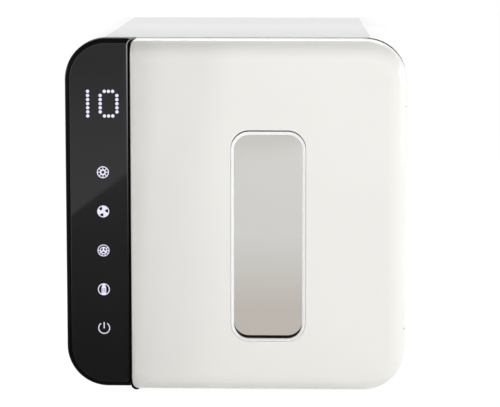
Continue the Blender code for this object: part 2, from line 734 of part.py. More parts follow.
def build_chamber(frame):
    """The bright liner behind the frame's mouth, the seal round it and the rails inside."""
    mouth = rounded(CHAMBER, CHAMBER_RADIUS)
    cut(frame, prism("chamber_mouth", mouth, FACE_Y - OVERCUT, FRAME_REAR_Y + OVERCUT))
    wall = rounded(grown(CHAMBER, LINER_WALL), CHAMBER_RADIUS + LINER_WALL)
    flange_width = LINER_WALL + LINER_FLANGE
    flange = rounded(grown(CHAMBER, flange_width), CHAMBER_RADIUS + flange_width)
    flange_rear = LINER_FRONT_Y + LINER_WALL
    levels = [(LINER_FRONT_Y, flange), (flange_rear, flange), (flange_rear, wall), (LINER_REAR_Y, wall)]
    liner = loft("chamber_liner", levels, BRIGHT_STEEL)
    cut(liner, prism("chamber_space", mouth, LINER_FRONT_Y - OVERCUT, CHAMBER_REAR_Y))
    slots = []
    for index in range(AIR_SLOT_COUNT):
        z = CHAMBER_Z + (index - (AIR_SLOT_COUNT - 1) / 2) * AIR_SLOT_PITCH
        slot = centred(CHAMBER_X, z, AIR_SLOT_WIDTH, AIR_SLOT_HEIGHT)
        slots.append((slot, CHAMBER_REAR_Y - OVERCUT, LINER_REAR_Y + OVERCUT))
    cut(liner, boxes("air_slots", slots))
    build_seal(frame)
    build_lamp()


def build_seal(frame):
    """The soft ring in a groove round the chamber's mouth."""
    inner_edge = SEAL_OFFSET
    outer_edge = SEAL_OFFSET + SEAL_WIDTH
    inner = rounded(grown(CHAMBER, inner_edge), CHAMBER_RADIUS + inner_edge)
    outer = rounded(grown(CHAMBER, outer_edge), CHAMBER_RADIUS + outer_edge)
    front = DOOR_REAR_Y + GAP
    rear = FACE_Y + SEAL_GROOVE
    ring_loft("door_seal", [(front, outer), (rear, outer), (rear, inner), (front, inner)], SOFT_GREY)
    groove_inner = rounded(grown(CHAMBER, inner_edge - GAP), CHAMBER_RADIUS + inner_edge - GAP)
    groove_outer = rounded(grown(CHAMBER, outer_edge + GAP), CHAMBER_RADIUS + outer_edge + GAP)
    mouth_y = FACE_Y - OVERCUT
    floor_y = rear + GAP
    levels = [
        (mouth_y, groove_outer),
        (floor_y, groove_outer),
        (floor_y, groove_inner),
        (mouth_y, groove_inner),
    ]
    cut(frame, ring_loft("seal_groove", levels))


def build_lamp():
    """The ultraviolet tube under the chamber's ceiling, between its two holders."""
    y = (LINER_FRONT_Y + CHAMBER_REAR_Y) / 2
    z = CHAMBER.top - LAMP_DROP
    holder_top = CHAMBER.top - GAP
    front = y - LAMP_HOLDER_SIZE / 2
    rear = y + LAMP_HOLDER_SIZE / 2
    left_end = CHAMBER.left + LAMP_HOLDER_INSET + LAMP_HOLDER_WIDTH
    right_end = CHAMBER.right - LAMP_HOLDER_INSET - LAMP_HOLDER_WIDTH
    bottom = z - LAMP_HOLDER_SIZE / 2
    left_rect = Rect(left_end - LAMP_HOLDER_WIDTH, left_end, bottom, holder_top)
    right_rect = Rect(right_end, right_end + LAMP_HOLDER_WIDTH, bottom, holder_top)
    left = slab("lamp_holder_left", left_rect, front, rear, RACK_WHITE)
    right = slab("lamp_holder_right", right_rect, front, rear, RACK_WHITE)
    start = (left_end - LAMP_END_DEPTH, y, z)
    end = (right_end + LAMP_END_DEPTH, y, z)
    rod("uv_lamp", "X", start, end, LAMP_RADIUS, SMALL_SIDES, LAMP_WHITE)
    seat_start = (start[0] - GAP, y, z)
    seat_end = (end[0] + GAP, y, z)
    seat = rod("lamp_seat", "X", seat_start, seat_end, LAMP_RADIUS + GAP, SMALL_SIDES)
    cut(left, seat)
    cut(right, seat)


def build_rack(name, rect, front_y, rear_y):
    """A flat rack with long slots from front to back."""
    rack = slab(name, rect, front_y, rear_y, RACK_WHITE)
    inner_width = rect.right - rect.left - 2 * RACK_BORDER
    pitch = (inner_width + RACK_BAR) / RACK_SLOT_COUNT
    slots = []
    for index in range(RACK_SLOT_COUNT):
        left = rect.left + RACK_BORDER + index * pitch
        slot = Rect(left, left + pitch - RACK_BAR, rect.bottom - OVERCUT, rect.top + OVERCUT)
        slots.append((slot, front_y + RACK_BORDER, rear_y - RACK_BORDER))
    cut(rack, boxes(f"{name}_slots", slots))
    return rack


def build_chamber_furniture():
    """The upper rack on its rails, and the drip tray with the lower rack standing on it."""
    front = FACE_Y + RACK_DOOR_MARGIN + RACK_TRAVEL
    rear = CHAMBER_REAR_Y - RACK_REAR_MARGIN
    level = CHAMBER.bottom + RACK_LEVEL
    rail_front = LINER_FRONT_Y + RACK_DOOR_MARGIN
    left_rail = Rect(CHAMBER.left + GAP, CHAMBER.left + GAP + RAIL_WIDTH, level - RAIL_HEIGHT, level)
    right_rail = Rect(CHAMBER.right - GAP - RAIL_WIDTH, CHAMBER.right - GAP, level - RAIL_HEIGHT, level)
    slab("rack_rail_left", left_rail, rail_front, CHAMBER_REAR_Y - GAP, RACK_WHITE)
    slab("rack_rail_right", right_rail, rail_front, CHAMBER_REAR_Y - GAP, RACK_WHITE)
    upper = Rect(
        CHAMBER.left + RACK_SIDE_GAP,
        CHAMBER.right - RACK_SIDE_GAP,
        level + GAP,
        level + GAP + RACK_THICKNESS,
    )
    upper_rack = build_rack("upper_rack", upper, front, rear)
    carry(pivot("upper_rack_slide", (CHAMBER_X, front, upper.bottom)), [upper_rack])
    floor = CHAMBER.bottom + GAP
    tray_left = CHAMBER.left + CHAMBER_RADIUS
    tray_right = CHAMBER.right - CHAMBER_RADIUS
    tray_rect = Rect(tray_left, tray_right, floor, floor + TRAY_HEIGHT)
    tray = slab("drip_tray", tray_rect, front, rear, RACK_WHITE)
    well = grown(tray_rect, -TRAY_WALL)._replace(top=tray_rect.top + OVERCUT)
    cut(tray, slab("tray_well", well, front + TRAY_WALL, rear - TRAY_WALL))
    lower = tray_rect._replace(bottom=tray_rect.top + GAP, top=tray_rect.top + GAP + RACK_THICKNESS)
    lower_rack = build_rack("lower_rack", lower, front, rear)
    carry(pivot("drip_tray_slide", (CHAMBER_X, front, floor)), [tray, lower_rack])


def build_air_path(cover):
    """The duct, heater and fan behind the liner, and the filter in the rear cover."""
    duct_rect = centred(CHAMBER_X, CHAMBER_Z, DUCT_SIZE, DUCT_SIZE)
    bore_rect = grown(duct_rect, -DUCT_WALL)
    duct = slab("air_duct", duct_rect, DUCT_FRONT_Y, DUCT_REAR_Y, DARK_GREY)
    cut(duct, slab("duct_bore", bore_rect, DUCT_FRONT_Y - OVERCUT, DUCT_REAR_Y + OVERCUT))
    build_heater(grown(bore_rect, -GAP))
    build_fan(duct_rect)
    build_filter(cover)


def build_heater(rect):
    """A flat heater block with upright fins in a solid rim."""
    middle = (DUCT_FRONT_Y + DUCT_REAR_Y) / 2
    front = middle - HEATER_DEPTH / 2
    rear = middle + HEATER_DEPTH / 2
    heater = slab("heater", rect, front, rear, ZINC)
    opening = grown(rect, -HEATER_RIM)
    pitch = (opening.right - opening.left + HEATER_FIN) / HEATER_FIN_COUNT
    slots = []
    for index in range(HEATER_FIN_COUNT):
        left = opening.left + index * pitch
        slot = opening._replace(left=left, right=left + pitch - HEATER_FIN)
        slots.append((slot, front - OVERCUT, rear + OVERCUT))
    cut(heater, boxes("heater_slots", slots))


def build_fan(rect):
    """The square fan frame, the motor on its spider and the bladed rotor on the shaft."""
    bore_radius = DUCT_SIZE / 2 - FAN_WALL
    frame = slab("fan_frame", rect, FAN_FRONT_Y, FAN_REAR_Y, DARK_GREY)
    bore_start = (CHAMBER_X, FAN_FRONT_Y - OVERCUT, CHAMBER_Z)
    bore_end = (CHAMBER_X, FAN_REAR_Y + OVERCUT, CHAMBER_Z)
    cut(frame, rod("fan_bore", "Y", bore_start, bore_end, bore_radius, ROUND_SIDES))
    motor_start = (CHAMBER_X, MOTOR_FRONT_Y, CHAMBER_Z)
    motor_end = (CHAMBER_X, MOTOR_REAR_Y, CHAMBER_Z)
    motor = rod("fan_motor", "Y", motor_start, motor_end, HUB_RADIUS, ROUND_SIDES, DARK_GREY)
    arm_rear = MOTOR_REAR_Y - MOTOR_DEPTH / 4
    across = centred(CHAMBER_X, CHAMBER_Z, DUCT_SIZE, MOTOR_ARM_WIDTH)
    upright = centred(CHAMBER_X, CHAMBER_Z, MOTOR_ARM_WIDTH, DUCT_SIZE)
    join(motor, slab("motor_arm_across", across, MOTOR_FRONT_Y, arm_rear))
    join(motor, slab("motor_arm_upright", upright, MOTOR_FRONT_Y, arm_rear))
    rotor_front = FAN_FRONT_Y + FAN_END_GAP
    rotor_rear = FAN_REAR_Y - FAN_END_GAP
    shaft_tip = (CHAMBER_X, rotor_front + FAN_END_GAP, CHAMBER_Z)
    shaft_root = (CHAMBER_X, MOTOR_FRONT_Y + MOTOR_DEPTH / 2, CHAMBER_Z)
    join(motor, rod("motor_shaft", "Y", shaft_tip, shaft_root, SHAFT_RADIUS, SMALL_SIDES))
    build_rotor(rotor_front, rotor_rear, bore_radius - FAN_TIP_GAP)


def build_rotor(front, rear, tip_radius):
    """The fan's hub and its pitched blades, bored for the shaft."""
    hub_start = (CHAMBER_X, front, CHAMBER_Z)
    hub_end = (CHAMBER_X, rear, CHAMBER_Z)
    rotor = rod("fan_rotor", "Y", hub_start, hub_end, HUB_RADIUS, ROUND_SIDES, DARK_GREY)
    middle = (front + rear) / 2
    root_radius = HUB_RADIUS - BLADE_HUB_SINK
    pitch_angle = math.radians(BLADE_PITCH_DEG)
    chord = (rear - front - BLADE_THICKNESS) / math.sin(pitch_angle) - BLADE_THICKNESS
    length = math.sqrt(tip_radius ** 2 - (chord / 2) ** 2) - root_radius
    mesh = bmesh.new()
    for index in range(BLADE_COUNT):
        place = (
            Matrix.Translation((CHAMBER_X, middle, CHAMBER_Z))
            @ Matrix.Rotation(math.tau * index / BLADE_COUNT, 4, "Y")
            @ Matrix.Translation((root_radius + length / 2, 0.0, 0.0))
            @ Matrix.Rotation(math.pi / 2 - pitch_angle, 4, "X")
            @ Matrix.Diagonal((length, chord, BLADE_THICKNESS, 1.0))
        )
        bmesh.ops.create_cube(mesh, matrix=place)
    join(rotor, finish("fan_blades", mesh))
    bore_end = (CHAMBER_X, rear + OVERCUT, CHAMBER_Z)
    bore_start = (CHAMBER_X, front + FAN_END_GAP - GAP, CHAMBER_Z)
    cut(rotor, rod("rotor_bore", "Y", bore_start, bore_end, SHAFT_RADIUS + GAP, SMALL_SIDES))
    carry(pivot("fan_axis", (CHAMBER_X, middle, CHAMBER_Z)), [rotor])


def build_filter(cover):
    """The fleece in the cover's air port and the slotted plate that holds it."""
    filter_rect = centred(CHAMBER_X, CHAMBER_Z, FILTER_SIZE, FILTER_SIZE)
    fleece = slab("air_filter", filter_rect, FILTER_FRONT_Y, REAR_Y, FILTER_FLEECE)
    port = grown(filter_rect, GAP)
    cut(cover, slab("filter_port", port, REAR_INSIDE_Y - OVERCUT, REAR_Y + OVERCUT))
    plate_rect = centred(CHAMBER_X, CHAMBER_Z, FILTER_COVER_SIZE, FILTER_COVER_SIZE)
    plate_front = REAR_Y + GAP
    plate_rear = plate_front + FILTER_COVER_THICKNESS
    plate_outline = rounded(plate_rect, FILTER_COVER_RADIUS)
    plate = prism("filter_cover", plate_outline, plate_front, plate_rear, CASING_GREY)
    slot_width = FILTER_COVER_SIZE - 2 * FILTER_SLOT_MARGIN
    slots = []
    for index in range(FILTER_SLOT_COUNT):
        z = CHAMBER_Z + (index - (FILTER_SLOT_COUNT - 1) / 2) * FILTER_SLOT_PITCH
        slot = centred(CHAMBER_X, z, slot_width, FILTER_SLOT_HEIGHT)
        slots.append((slot, plate_front - OVERCUT, plate_rear + OVERCUT))
    cut(plate, boxes("filter_slots", slots))
    carry(pivot("filter_slide", (CHAMBER_X, REAR_Y, CHAMBER_Z)), [fleece, plate])


def build_electronics(cover):
    """The main board on its spacers, the power supply on the floor and the mains socket."""
    board_right = LINER_LEFT - GAP - MAIN_BOARD_STANDOFF
    board_low = CABINET.bottom + MAIN_BOARD_LIFT
    board = Rect(board_right - BOARD_THICKNESS, board_right, board_low, board_low + MAIN_BOARD_HEIGHT)
    middle = (LINER_FRONT_Y + CHAMBER_REAR_Y) / 2
    board_front = middle - MAIN_BOARD_DEPTH / 2
    board_rear = middle + MAIN_BOARD_DEPTH / 2
    main_board = slab("main_board", board, board_front, board_rear, BOARD_GREEN)
    number = 0
    for y in (board_front + SPACER_INSET, board_rear - SPACER_INSET):
        for z in (board.bottom + SPACER_INSET, board.top - SPACER_INSET):
            number += 1
            start = (board.left + BOARD_THICKNESS / 2, y, z)
            end = (LINER_LEFT - GAP, y, z)
            join(main_board, rod(f"board_spacer_{number}", "X", start, end, SPACER_RADIUS, SMALL_SIDES))
    supply_right = LINER_LEFT - SUPPLY_LINER_GAP
    supply_low = CABINET.bottom + SHELL_WALL + GAP
    supply = Rect(supply_right - SUPPLY_WIDTH, supply_right, supply_low, supply_low + SUPPLY_HEIGHT)
    slab("power_supply", supply, middle - SUPPLY_DEPTH / 2, middle + SUPPLY_DEPTH / 2, DARK_GREY)
    build_inlet(cover)
    build_vents(cover)


def build_inlet(cover):
    """The two-pole mains socket set in the rear cover."""
    x = CABINET.left + INLET_SIDE_INSET
    z = CABINET.bottom + INLET_LIFT
    body = centred(x, z, INLET_WIDTH, INLET_HEIGHT)
    flange_front = REAR_Y + GAP
    flange_rear = flange_front + INLET_FLANGE_THICKNESS
    flange = grown(body, INLET_FLANGE)
    inlet = prism("mains_inlet", rounded(flange, INLET_FLANGE), flange_front, flange_rear, DARK_GREY)
    join(inlet, slab("inlet_body", body, REAR_Y - INLET_DEPTH, flange_front + INLET_FLANGE_THICKNESS / 2))
    socket = grown(body, -INLET_WALL)
    socket_radius = (socket.top - socket.bottom) / 2 - GAP
    socket_front = flange_rear - INLET_SOCKET_DEPTH
    cut(inlet, prism("inlet_socket", rounded(socket, socket_radius), socket_front, flange_rear + OVERCUT))
    cut(cover, slab("inlet_port", grown(body, GAP), REAR_INSIDE_Y - OVERCUT, REAR_Y + OVERCUT))


def build_vents(cover):
    """A row of upright air slots near the top of the rear cover."""
    top = CABINET.top - VENT_DROP
    slots = []
    for index in range(VENT_COUNT):
        x = CHAMBER_X + (index - (VENT_COUNT - 1) / 2) * VENT_PITCH
        slot = Rect(x - VENT_WIDTH / 2, x + VENT_WIDTH / 2, top - VENT_HEIGHT, top)
        slots.append((slot, REAR_INSIDE_Y - OVERCUT, REAR_Y + OVERCUT))
    cut(cover, boxes("vent_slots", slots))


def main():
    """Build the whole sterilizer."""
    clear_scene()
    frame, cover = build_casing()
    build_control_panel(frame)
    build_chamber(frame)
    build_chamber_furniture()
    build_air_path(cover)
    build_electronics(cover)
    shell = build_door_shell()
    door_pieces = build_window(shell)
    door_pieces.append(build_catch(shell, frame))
    door_pieces += build_hinges(shell, frame)
    carry(pivot("door_hinge", (HINGE_X, HINGE_Y, CABINET.bottom)), [shell] + door_pieces)


main()
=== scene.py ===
"""Looks for a countertop bottle sterilizer: casing, control strip, door, chamber and air path.

Sizes are in metres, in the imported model's frame: the front faces -Y and the feet stand on z = 0.
"""

import enum
import logging
import math
from collections.abc import Iterable, Sequence
from dataclasses import dataclass, field

import bmesh
import bpy
from mathutils import Matrix, Vector


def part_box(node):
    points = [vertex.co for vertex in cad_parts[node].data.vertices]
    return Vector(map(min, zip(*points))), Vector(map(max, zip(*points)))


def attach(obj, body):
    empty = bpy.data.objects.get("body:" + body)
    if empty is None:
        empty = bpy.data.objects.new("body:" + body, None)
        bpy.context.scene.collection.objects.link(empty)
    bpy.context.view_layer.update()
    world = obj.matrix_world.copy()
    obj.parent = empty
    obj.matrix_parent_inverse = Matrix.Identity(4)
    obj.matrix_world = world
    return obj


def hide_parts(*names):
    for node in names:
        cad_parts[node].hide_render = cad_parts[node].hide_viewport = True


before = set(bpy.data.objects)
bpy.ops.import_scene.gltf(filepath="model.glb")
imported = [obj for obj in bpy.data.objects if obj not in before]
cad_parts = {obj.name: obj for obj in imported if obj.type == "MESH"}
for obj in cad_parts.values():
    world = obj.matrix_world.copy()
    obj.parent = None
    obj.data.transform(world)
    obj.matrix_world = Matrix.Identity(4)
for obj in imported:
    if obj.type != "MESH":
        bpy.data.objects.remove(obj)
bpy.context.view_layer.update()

LOG = logging.getLogger("sterilizer")

CORNER_STEPS = 20
ROLL_STEPS = 14
EDGE_STEPS = 4
ROUND_SIDES = 48
SHARP_ANGLE = math.radians(38.0)
OVERCUT = 0.002
HAIR = 0.0003
STANDING = (math.pi / 2, 0.0, 0.0)
LYING = (0.0, 0.0, 0.0)
DOT_SIDES = 20
BEVEL_STEPS = 3
ARC_STEP_DEG = 6.0
HALF_RING_DEG = 190.0
AXIS_SHARE = 0.05
SLOT_ROUND = 0.49
NOISE_SPAN = (0.3, 0.7)
BLACK = (0.0, 0.0, 0.0, 1.0)
WHITE = (1.0, 1.0, 1.0, 1.0)
CHAMBER_FLANGE = 0.0075
SOCKET_FLANGE = 0.003
SCREW_DOME = ((0.96, 0.0), (1.0, 0.15), (1.0, 0.4), (0.93, 0.68), (0.75, 0.88), (0.45, 0.97), (0.1, 1.0))
HUB_DOME = ((0.03, 0.0), (0.62, 0.0), (0.86, 0.04), (0.97, 0.12), (1.0, 0.24), (1.0, 1.0), (0.03, 1.0))
HINGE_PINS = ("hinge_pin_upper", "hinge_pin_lower")

Piece = bpy.types.Object
Socket = bpy.types.NodeSocket
Pair = tuple[float, float]
Point = tuple[float, float, float]
Colour = tuple[float, float, float]
Outline = list[Pair]
Level = tuple[float, Outline]


class Body(enum.Enum):
    """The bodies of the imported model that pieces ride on."""

    CABINET = "cabinet"
    DOOR = "door"
    FAN = "fan"
    FILTER = "filter"
    RACK = "rack"
    TRAY = "tray"


class Slot(enum.Enum):
    """The record's material slots that finishes stand for."""

    CASING = "casing"
    WARM_WHITE = "warm_white"
    GLOSS_BLACK = "gloss_black"
    BLACK_GLASS = "black_glass"
    DARK_PLASTIC = "dark_plastic"
    WHITE_PLASTIC = "white_plastic"
    BRIGHT_STEEL = "bright_steel"
    ZINC_STEEL = "zinc_steel"
    HEATER_METAL = "heater_metal"
    MIRROR_GLASS = "mirror_glass"
    LAMP_GLASS = "lamp_glass"
    SILICONE = "silicone"
    FOOT_RUBBER = "foot_rubber"
    CIRCUIT_BOARD = "circuit_board"
    DISPLAY_LIGHT = "display_light"
    FILTER_FLEECE = "filter_fleece"


class Axis(enum.Enum):
    """The frame's directions, as indices into a vector."""

    ACROSS = 0
    DEEP = 1
    UPRIGHT = 2


class NodeKit:
    """A node tree under construction."""

    def __init__(self, tree: bpy.types.NodeTree) -> None:
        """Take a tree in hand."""
        self.tree = tree

    def fill(self, target: Socket, value: object) -> None:
        """Link a socket to an input, or set the input's own value.

        Args:
            target: The input.
            value: An output socket, or a plain value.
        """
        if isinstance(value, Socket):
            self.tree.links.new(value, target)
        else:
            target.default_value = value

    def node(self, kind: str, settings: dict[str, str] | None = None, **inputs: object) -> bpy.types.Node:
        """Add a node and fill its inputs.

        Args:
            kind: Blender's name for the node type.
            settings: Its properties.
            **inputs: Values or sockets, by the input's name with spaces written as underscores,
                or by the letter n and the input's number.

        Returns:
            The new node.
        """
        node = self.tree.nodes.new(kind)
        for name, value in (settings or {}).items():
            setattr(node, name, value)
        for name, value in inputs.items():
            by_number = name[0] == "n" and name[1:].isdigit()
            self.fill(node.inputs[int(name[1:]) if by_number else name.replace("_", " ")], value)
        return node

    def add(self, kind: str, settings: dict[str, str] | None = None,
            **inputs: object) -> Socket:
        """Add a node as node() does, and give its first output."""
        return self.node(kind, settings, **inputs).outputs[0]

    def math(self, operation: str, first: object, second: object) -> Socket:
        """The result of an operation on two values or sockets, by Blender's name for it."""
        return self.add("ShaderNodeMath", {"operation": operation}, n0=first, n1=second)


class Shader(NodeKit):
    """A Principled material under construction, with short ways to add texture nodes."""

    def __init__(self, name: str) -> None:
        """Start a material that has only its Principled shader.

        Args:
            name: Name of the new material.
        """
        self.material = bpy.data.materials.new(name)
        self.material.use_nodes = True
        super().__init__(self.material.node_tree)
        self.surface = self.tree.nodes["Principled BSDF"]

    def set(self, **inputs: object) -> None:
        """Fill inputs of the Principled shader, by name with spaces written as underscores."""
        for name, value in inputs.items():
            self.fill(self.surface.inputs[name.replace("_", " ")], value)

    def place(self, stretch: Sequence[float] = (1.0, 1.0, 1.0)) -> Socket:
        """Object coordinates, scaled along each axis.

        Args:
            stretch: Scale along x, y and z.

        Returns:
            The vector socket.
        """
        source = self.node("ShaderNodeTexCoord").outputs["Object"]
        return self.add("ShaderNodeMapping", Vector=source, Scale=tuple(stretch))

    def along(self, axis: str) -> Socket:
        """Where a point lies along one of the object's axes."""
        return self.node("ShaderNodeSeparateXYZ", Vector=self.place()).outputs[axis]

    def noise(self, scale: float, detail: float = 2.0,
              stretch: Sequence[float] = (1.0, 1.0, 1.0)) -> Socket:
        """Noise on the object's coordinates.

        Args:
            scale: Cells per metre.
            detail: Octaves.
            stretch: Scale of each axis before the noise.

        Returns:
            The noise value, from about 0 to 1.
        """
        node = self.node("ShaderNodeTexNoise", Vector=self.place(stretch), Scale=scale, Detail=detail)
        return node.outputs["Fac"]

    def spread(self, value: Socket, low: float, high: float,
               start: float = NOISE_SPAN[0], end: float = NOISE_SPAN[1]) -> Socket:
        """Map a value's range onto another range.

        Args:
            value: The value socket.
            low: Result where the value is at start.
            high: Result where the value is at end.
            start: Lower end of the value's range.
            end: Upper end of the value's range.

        Returns:
            The mapped value.
        """
        node = self.node("ShaderNodeMapRange", Value=value, From_Min=start, From_Max=end,
                         To_Min=low, To_Max=high)
        return node.outputs["Result"]

    def tones(self, value: Socket,
              stops: Sequence[tuple[float, Colour]]) -> Socket:
        """Colours picked from a value.

        Args:
            value: The value socket.
            stops: Places from 0 to 1, each with its colour, in rising order.

        Returns:
            The colour socket.
        """
        node = self.node("ShaderNodeValToRGB", Fac=value)
        ramp = node.color_ramp
        while len(ramp.elements) < len(stops):
            ramp.elements.new(0.5)
        for element, (place, colour) in zip(ramp.elements, stops):
            element.position = place
            element.color = (*colour, 1.0)
        return node.outputs["Color"]

    def drift(self, value: Socket, colour: Colour, share: float) -> Socket:
        """A colour that strays a little to either side.

        Args:
            value: What the straying follows.
            colour: The middle colour.
            share: How far it strays, as a share of itself.

        Returns:
            The colour socket.
        """
        dark = tuple(part * (1.0 - share) for part in colour)
        pale = tuple(min(1.0, part * (1.0 + share)) for part in colour)
        return self.tones(value, tuple(zip(NOISE_SPAN, (dark, pale))))

    def relief(self, height: Socket, depth: float) -> Socket:
        """A normal bumped by a height.

        Args:
            height: Height from 0 to 1.
            depth: What a height of 1 stands for.

        Returns:
            The normal socket.
        """
        return self.add("ShaderNodeBump", Height=height, Distance=depth)


@dataclass(frozen=True)
class Finish:
    """What every finish has: its own name and the record's slot that it stands for."""

    name: str
    slot: Slot

    def material(self) -> bpy.types.Material:
        """The finish's material, made the first time it is asked for."""
        return bpy.data.materials.get(self.name) or self.make()

    def make(self) -> bpy.types.Material:
        """Make the material; each kind of finish has its own way."""
        raise NotImplementedError


@dataclass(frozen=True)
class Moulded(Finish):
    """Moulded or lacquered plastic, rubber or glass: drifting tone, fine grain, uneven polish."""

    colour: Colour
    roughness: float
    stray: float = 0.02
    polish: float = 0.04
    cloud: float = 9.0
    grain: float = 900.0
    depth: float = 0.00001
    specular: float = 0.5
    coat: float = 0.0
    coat_roughness: float = 0.06

    def make(self) -> bpy.types.Material:
        """Make the material.

        Returns:
            The new material.
        """
        kit = Shader(self.name)
        cloud = kit.noise(self.cloud, 3.0)
        kit.set(
            Base_Color=kit.drift(cloud, self.colour, self.stray),
            Roughness=kit.spread(kit.noise(self.cloud * 4.0, 4.0), self.roughness - self.polish,
                                 self.roughness + self.polish),
            Normal=kit.relief(kit.noise(self.grain, 2.0), self.depth),
            Specular_IOR_Level=self.specular,
            Coat_Weight=self.coat,
            Coat_Roughness=self.coat_roughness,
        )
        return kit.material


@dataclass(frozen=True)
class Brushed(Finish):
    """Metal or lacquer with long brush lines in one direction."""

    colour: Colour
    roughness: float
    metallic: float
    along: Axis
    stray: float = 0.03
    lines: float = 700.0
    bands: float = 18.0
    length: float = 0.04
    depth: float = 0.000008
    coat: float = 0.0
    coat_roughness: float = 0.12

    def stretch(self) -> list[float]:
        """Scale of the noise along each axis, least along the brush lines."""
        return [self.length if axis is self.along else 1.0 for axis in Axis]

    def tint(self, kit: Shader, broad: Socket) -> Socket:
        """The colour, drifting with the broad brush bands."""
        return kit.drift(broad, self.colour, self.stray)

    def make(self) -> bpy.types.Material:
        """Make the material.

        Returns:
            The new material.
        """
        kit = Shader(self.name)
        fine = kit.noise(self.lines, 2.0, self.stretch())
        broad = kit.noise(self.bands, 5.0, self.stretch())
        kit.set(
            Base_Color=self.tint(kit, broad),
            Roughness=kit.spread(fine, self.roughness * 0.8, self.roughness * 1.2),
            Normal=kit.relief(fine, self.depth),
            Metallic=self.metallic,
            Coat_Weight=self.coat,
            Coat_Roughness=self.coat_roughness,
        )
        return kit.material


@dataclass(frozen=True)
class Wrapped(Brushed):
    """Brushed sheet wrapped round a box, with a painted highlight: paler on the bends, from the line where
    each one starts.
    """

    # Colour of the painted highlight on the bends.
    bent: Colour = (1.0, 1.0, 1.0)
    middle: Pair = (0.0015, 0.1755)
    depth_span: Pair = (-0.147, 0.165)
    flat_half: Pair = (0.128, 0.121)
    softness: float = 0.001
    rise: Pair = (0.1145, 0.1545)

    def stretch(self) -> list[float]:
        """Scale of the noise: the brush lines run round the box, so only the depth keeps its own."""
        return [1.0 if axis is Axis.DEEP else self.length for axis in Axis]

    def tint(self, kit: Shader, broad: Socket) -> Socket:
        """The colour: drifting on the flats, and a paler one on the bends, which is a painted highlight.

        Args:
            kit: The material under construction.
            broad: Noise that the tones drift with.

        Returns:
            The colour socket.
        """
        aside, above = (kit.math("ABSOLUTE", kit.math("SUBTRACT", kit.along(axis), middle), 0.0)
                        for axis, middle in zip(("X", "Z"), self.middle))
        flat = kit.spread(kit.along("Y"), *self.flat_half, *self.depth_span)
        beyond = kit.spread(kit.math("SUBTRACT", aside, flat), 0.0, 1.0, 0.0, self.softness)
        # Painted highlight: the paler colour is mixed in past the line where each bend starts, well above or
        # below the middle height.
        highlight_share = kit.math("MULTIPLY", beyond, kit.spread(above, 0.0, 1.0, *self.rise))
        return kit.add("ShaderNodeMixRGB", Fac=highlight_share, Color2=(*self.bent, 1.0),
                       Color1=super().tint(kit, broad))


@dataclass(frozen=True)
class Plated(Finish):
    """Metal with a fine crystalline mottle."""

    colour: Colour
    roughness: float
    spangle: float = 260.0
    stray: float = 0.08
    polish: Pair = (0.06, 0.08)
    depth: float = 0.00001

    def make(self) -> bpy.types.Material:
        """Make the material.

        Returns:
            The new material.
        """
        kit = Shader(self.name)
        mottle = kit.node("ShaderNodeTexVoronoi", Vector=kit.place(), Scale=self.spangle).outputs["Distance"]
        less, more = self.polish
        kit.set(
            Base_Color=kit.drift(mottle, self.colour, self.stray),
            Roughness=kit.spread(kit.noise(self.spangle, 3.0), self.roughness - less, self.roughness + more),
            Normal=kit.relief(kit.noise(self.spangle * 4.0, 2.0), self.depth),
            Metallic=1.0,
        )
        return kit.material


@dataclass(frozen=True)
class Silvered(Finish):
    """A mirror finish whose colour follows a ramp of tones from its foot to its top: painted reflection and
    highlight, standing in for what the mirror shows there.
    """

    stops: tuple[tuple[float, Colour], ...]
    low: float
    high: float
    roughness: float = 0.06
    bend: float = 1.0
    haze: float = 26.0
    ripple: float = 40.0
    depth: float = 0.00001

    def make(self) -> bpy.types.Material:
        """Make the material.

        Returns:
            The new material.
        """
        kit = Shader(self.name)
        rise = kit.spread(kit.along("Z"), 0.0, 1.0, self.low, self.high)
        haze = kit.noise(self.haze, 4.0)
        kit.set(
            # Painted reflection and highlight: the colour follows the ramp of tones by height.
            Base_Color=kit.tones(kit.math("POWER", rise, self.bend), self.stops),
            Roughness=kit.spread(haze, self.roughness * 0.7, self.roughness * 1.5),
            Normal=kit.relief(kit.noise(self.ripple, 1.0), self.depth),
            Metallic=1.0,
        )
        return kit.material


@dataclass(frozen=True)
class Lit(Finish):
    """A lit mark: pale plastic that shines by itself."""

    colour: Colour
    strength: float
    grain: float = 420.0
    stray: float = 0.03
    unlit: Colour = (0.02, 0.02, 0.02)

    def make(self) -> bpy.types.Material:
        """Make the material.

        Returns:
            The new material.
        """
        kit = Shader(self.name)
        glow = kit.drift(kit.noise(self.grain, 2.0), self.colour, self.stray)
        kit.set(Base_Color=(*self.unlit, 1.0), Emission_Color=glow, Emission_Strength=self.strength,
                Roughness=0.4)
        return kit.material


@dataclass(frozen=True)
class Felted(Finish):
    """Matted fibres, as in an air filter's fleece."""

    colour: Colour
    fibres: float = 1500.0
    lie: tuple[float, float, float] = (1.0, 1.0, 0.25)
    stray: float = 0.12
    depth: float = 0.0004

    def make(self) -> bpy.types.Material:
        """Make the material.

        Returns:
            The new material.
        """
        kit = Shader(self.name)
        tangle = kit.noise(self.fibres, 6.0, self.lie)
        kit.set(
            Base_Color=kit.drift(tangle, self.colour, self.stray),
            Roughness=0.95,
            Normal=kit.relief(tangle, self.depth),
            Sheen_Weight=0.25,
        )
        return kit.material


@dataclass(frozen=True)
class Etched(Finish):
    """A circuit board: lacquer over a maze of copper tracks."""

    lacquer: Colour
    track: Colour
    pitch: float = 90.0
    gap: float = 0.03
    depth: float = 0.00003

    def make(self) -> bpy.types.Material:
        """Make the material.

        Returns:
            The new material.
        """
        kit = Shader(self.name)
        lacquer = (*self.lacquer, 1.0)
        maze = kit.node("ShaderNodeTexBrick", Vector=kit.place(), Scale=self.pitch, Color1=lacquer,
                        Color2=lacquer, Mortar=(*self.track, 1.0), Mortar_Size=self.gap)
        kit.set(
            Base_Color=maze.outputs["Color"],
            Roughness=kit.spread(kit.noise(60.0, 3.0), 0.35, 0.5),
            Normal=kit.relief(maze.outputs["Fac"], self.depth),
        )
        return kit.material


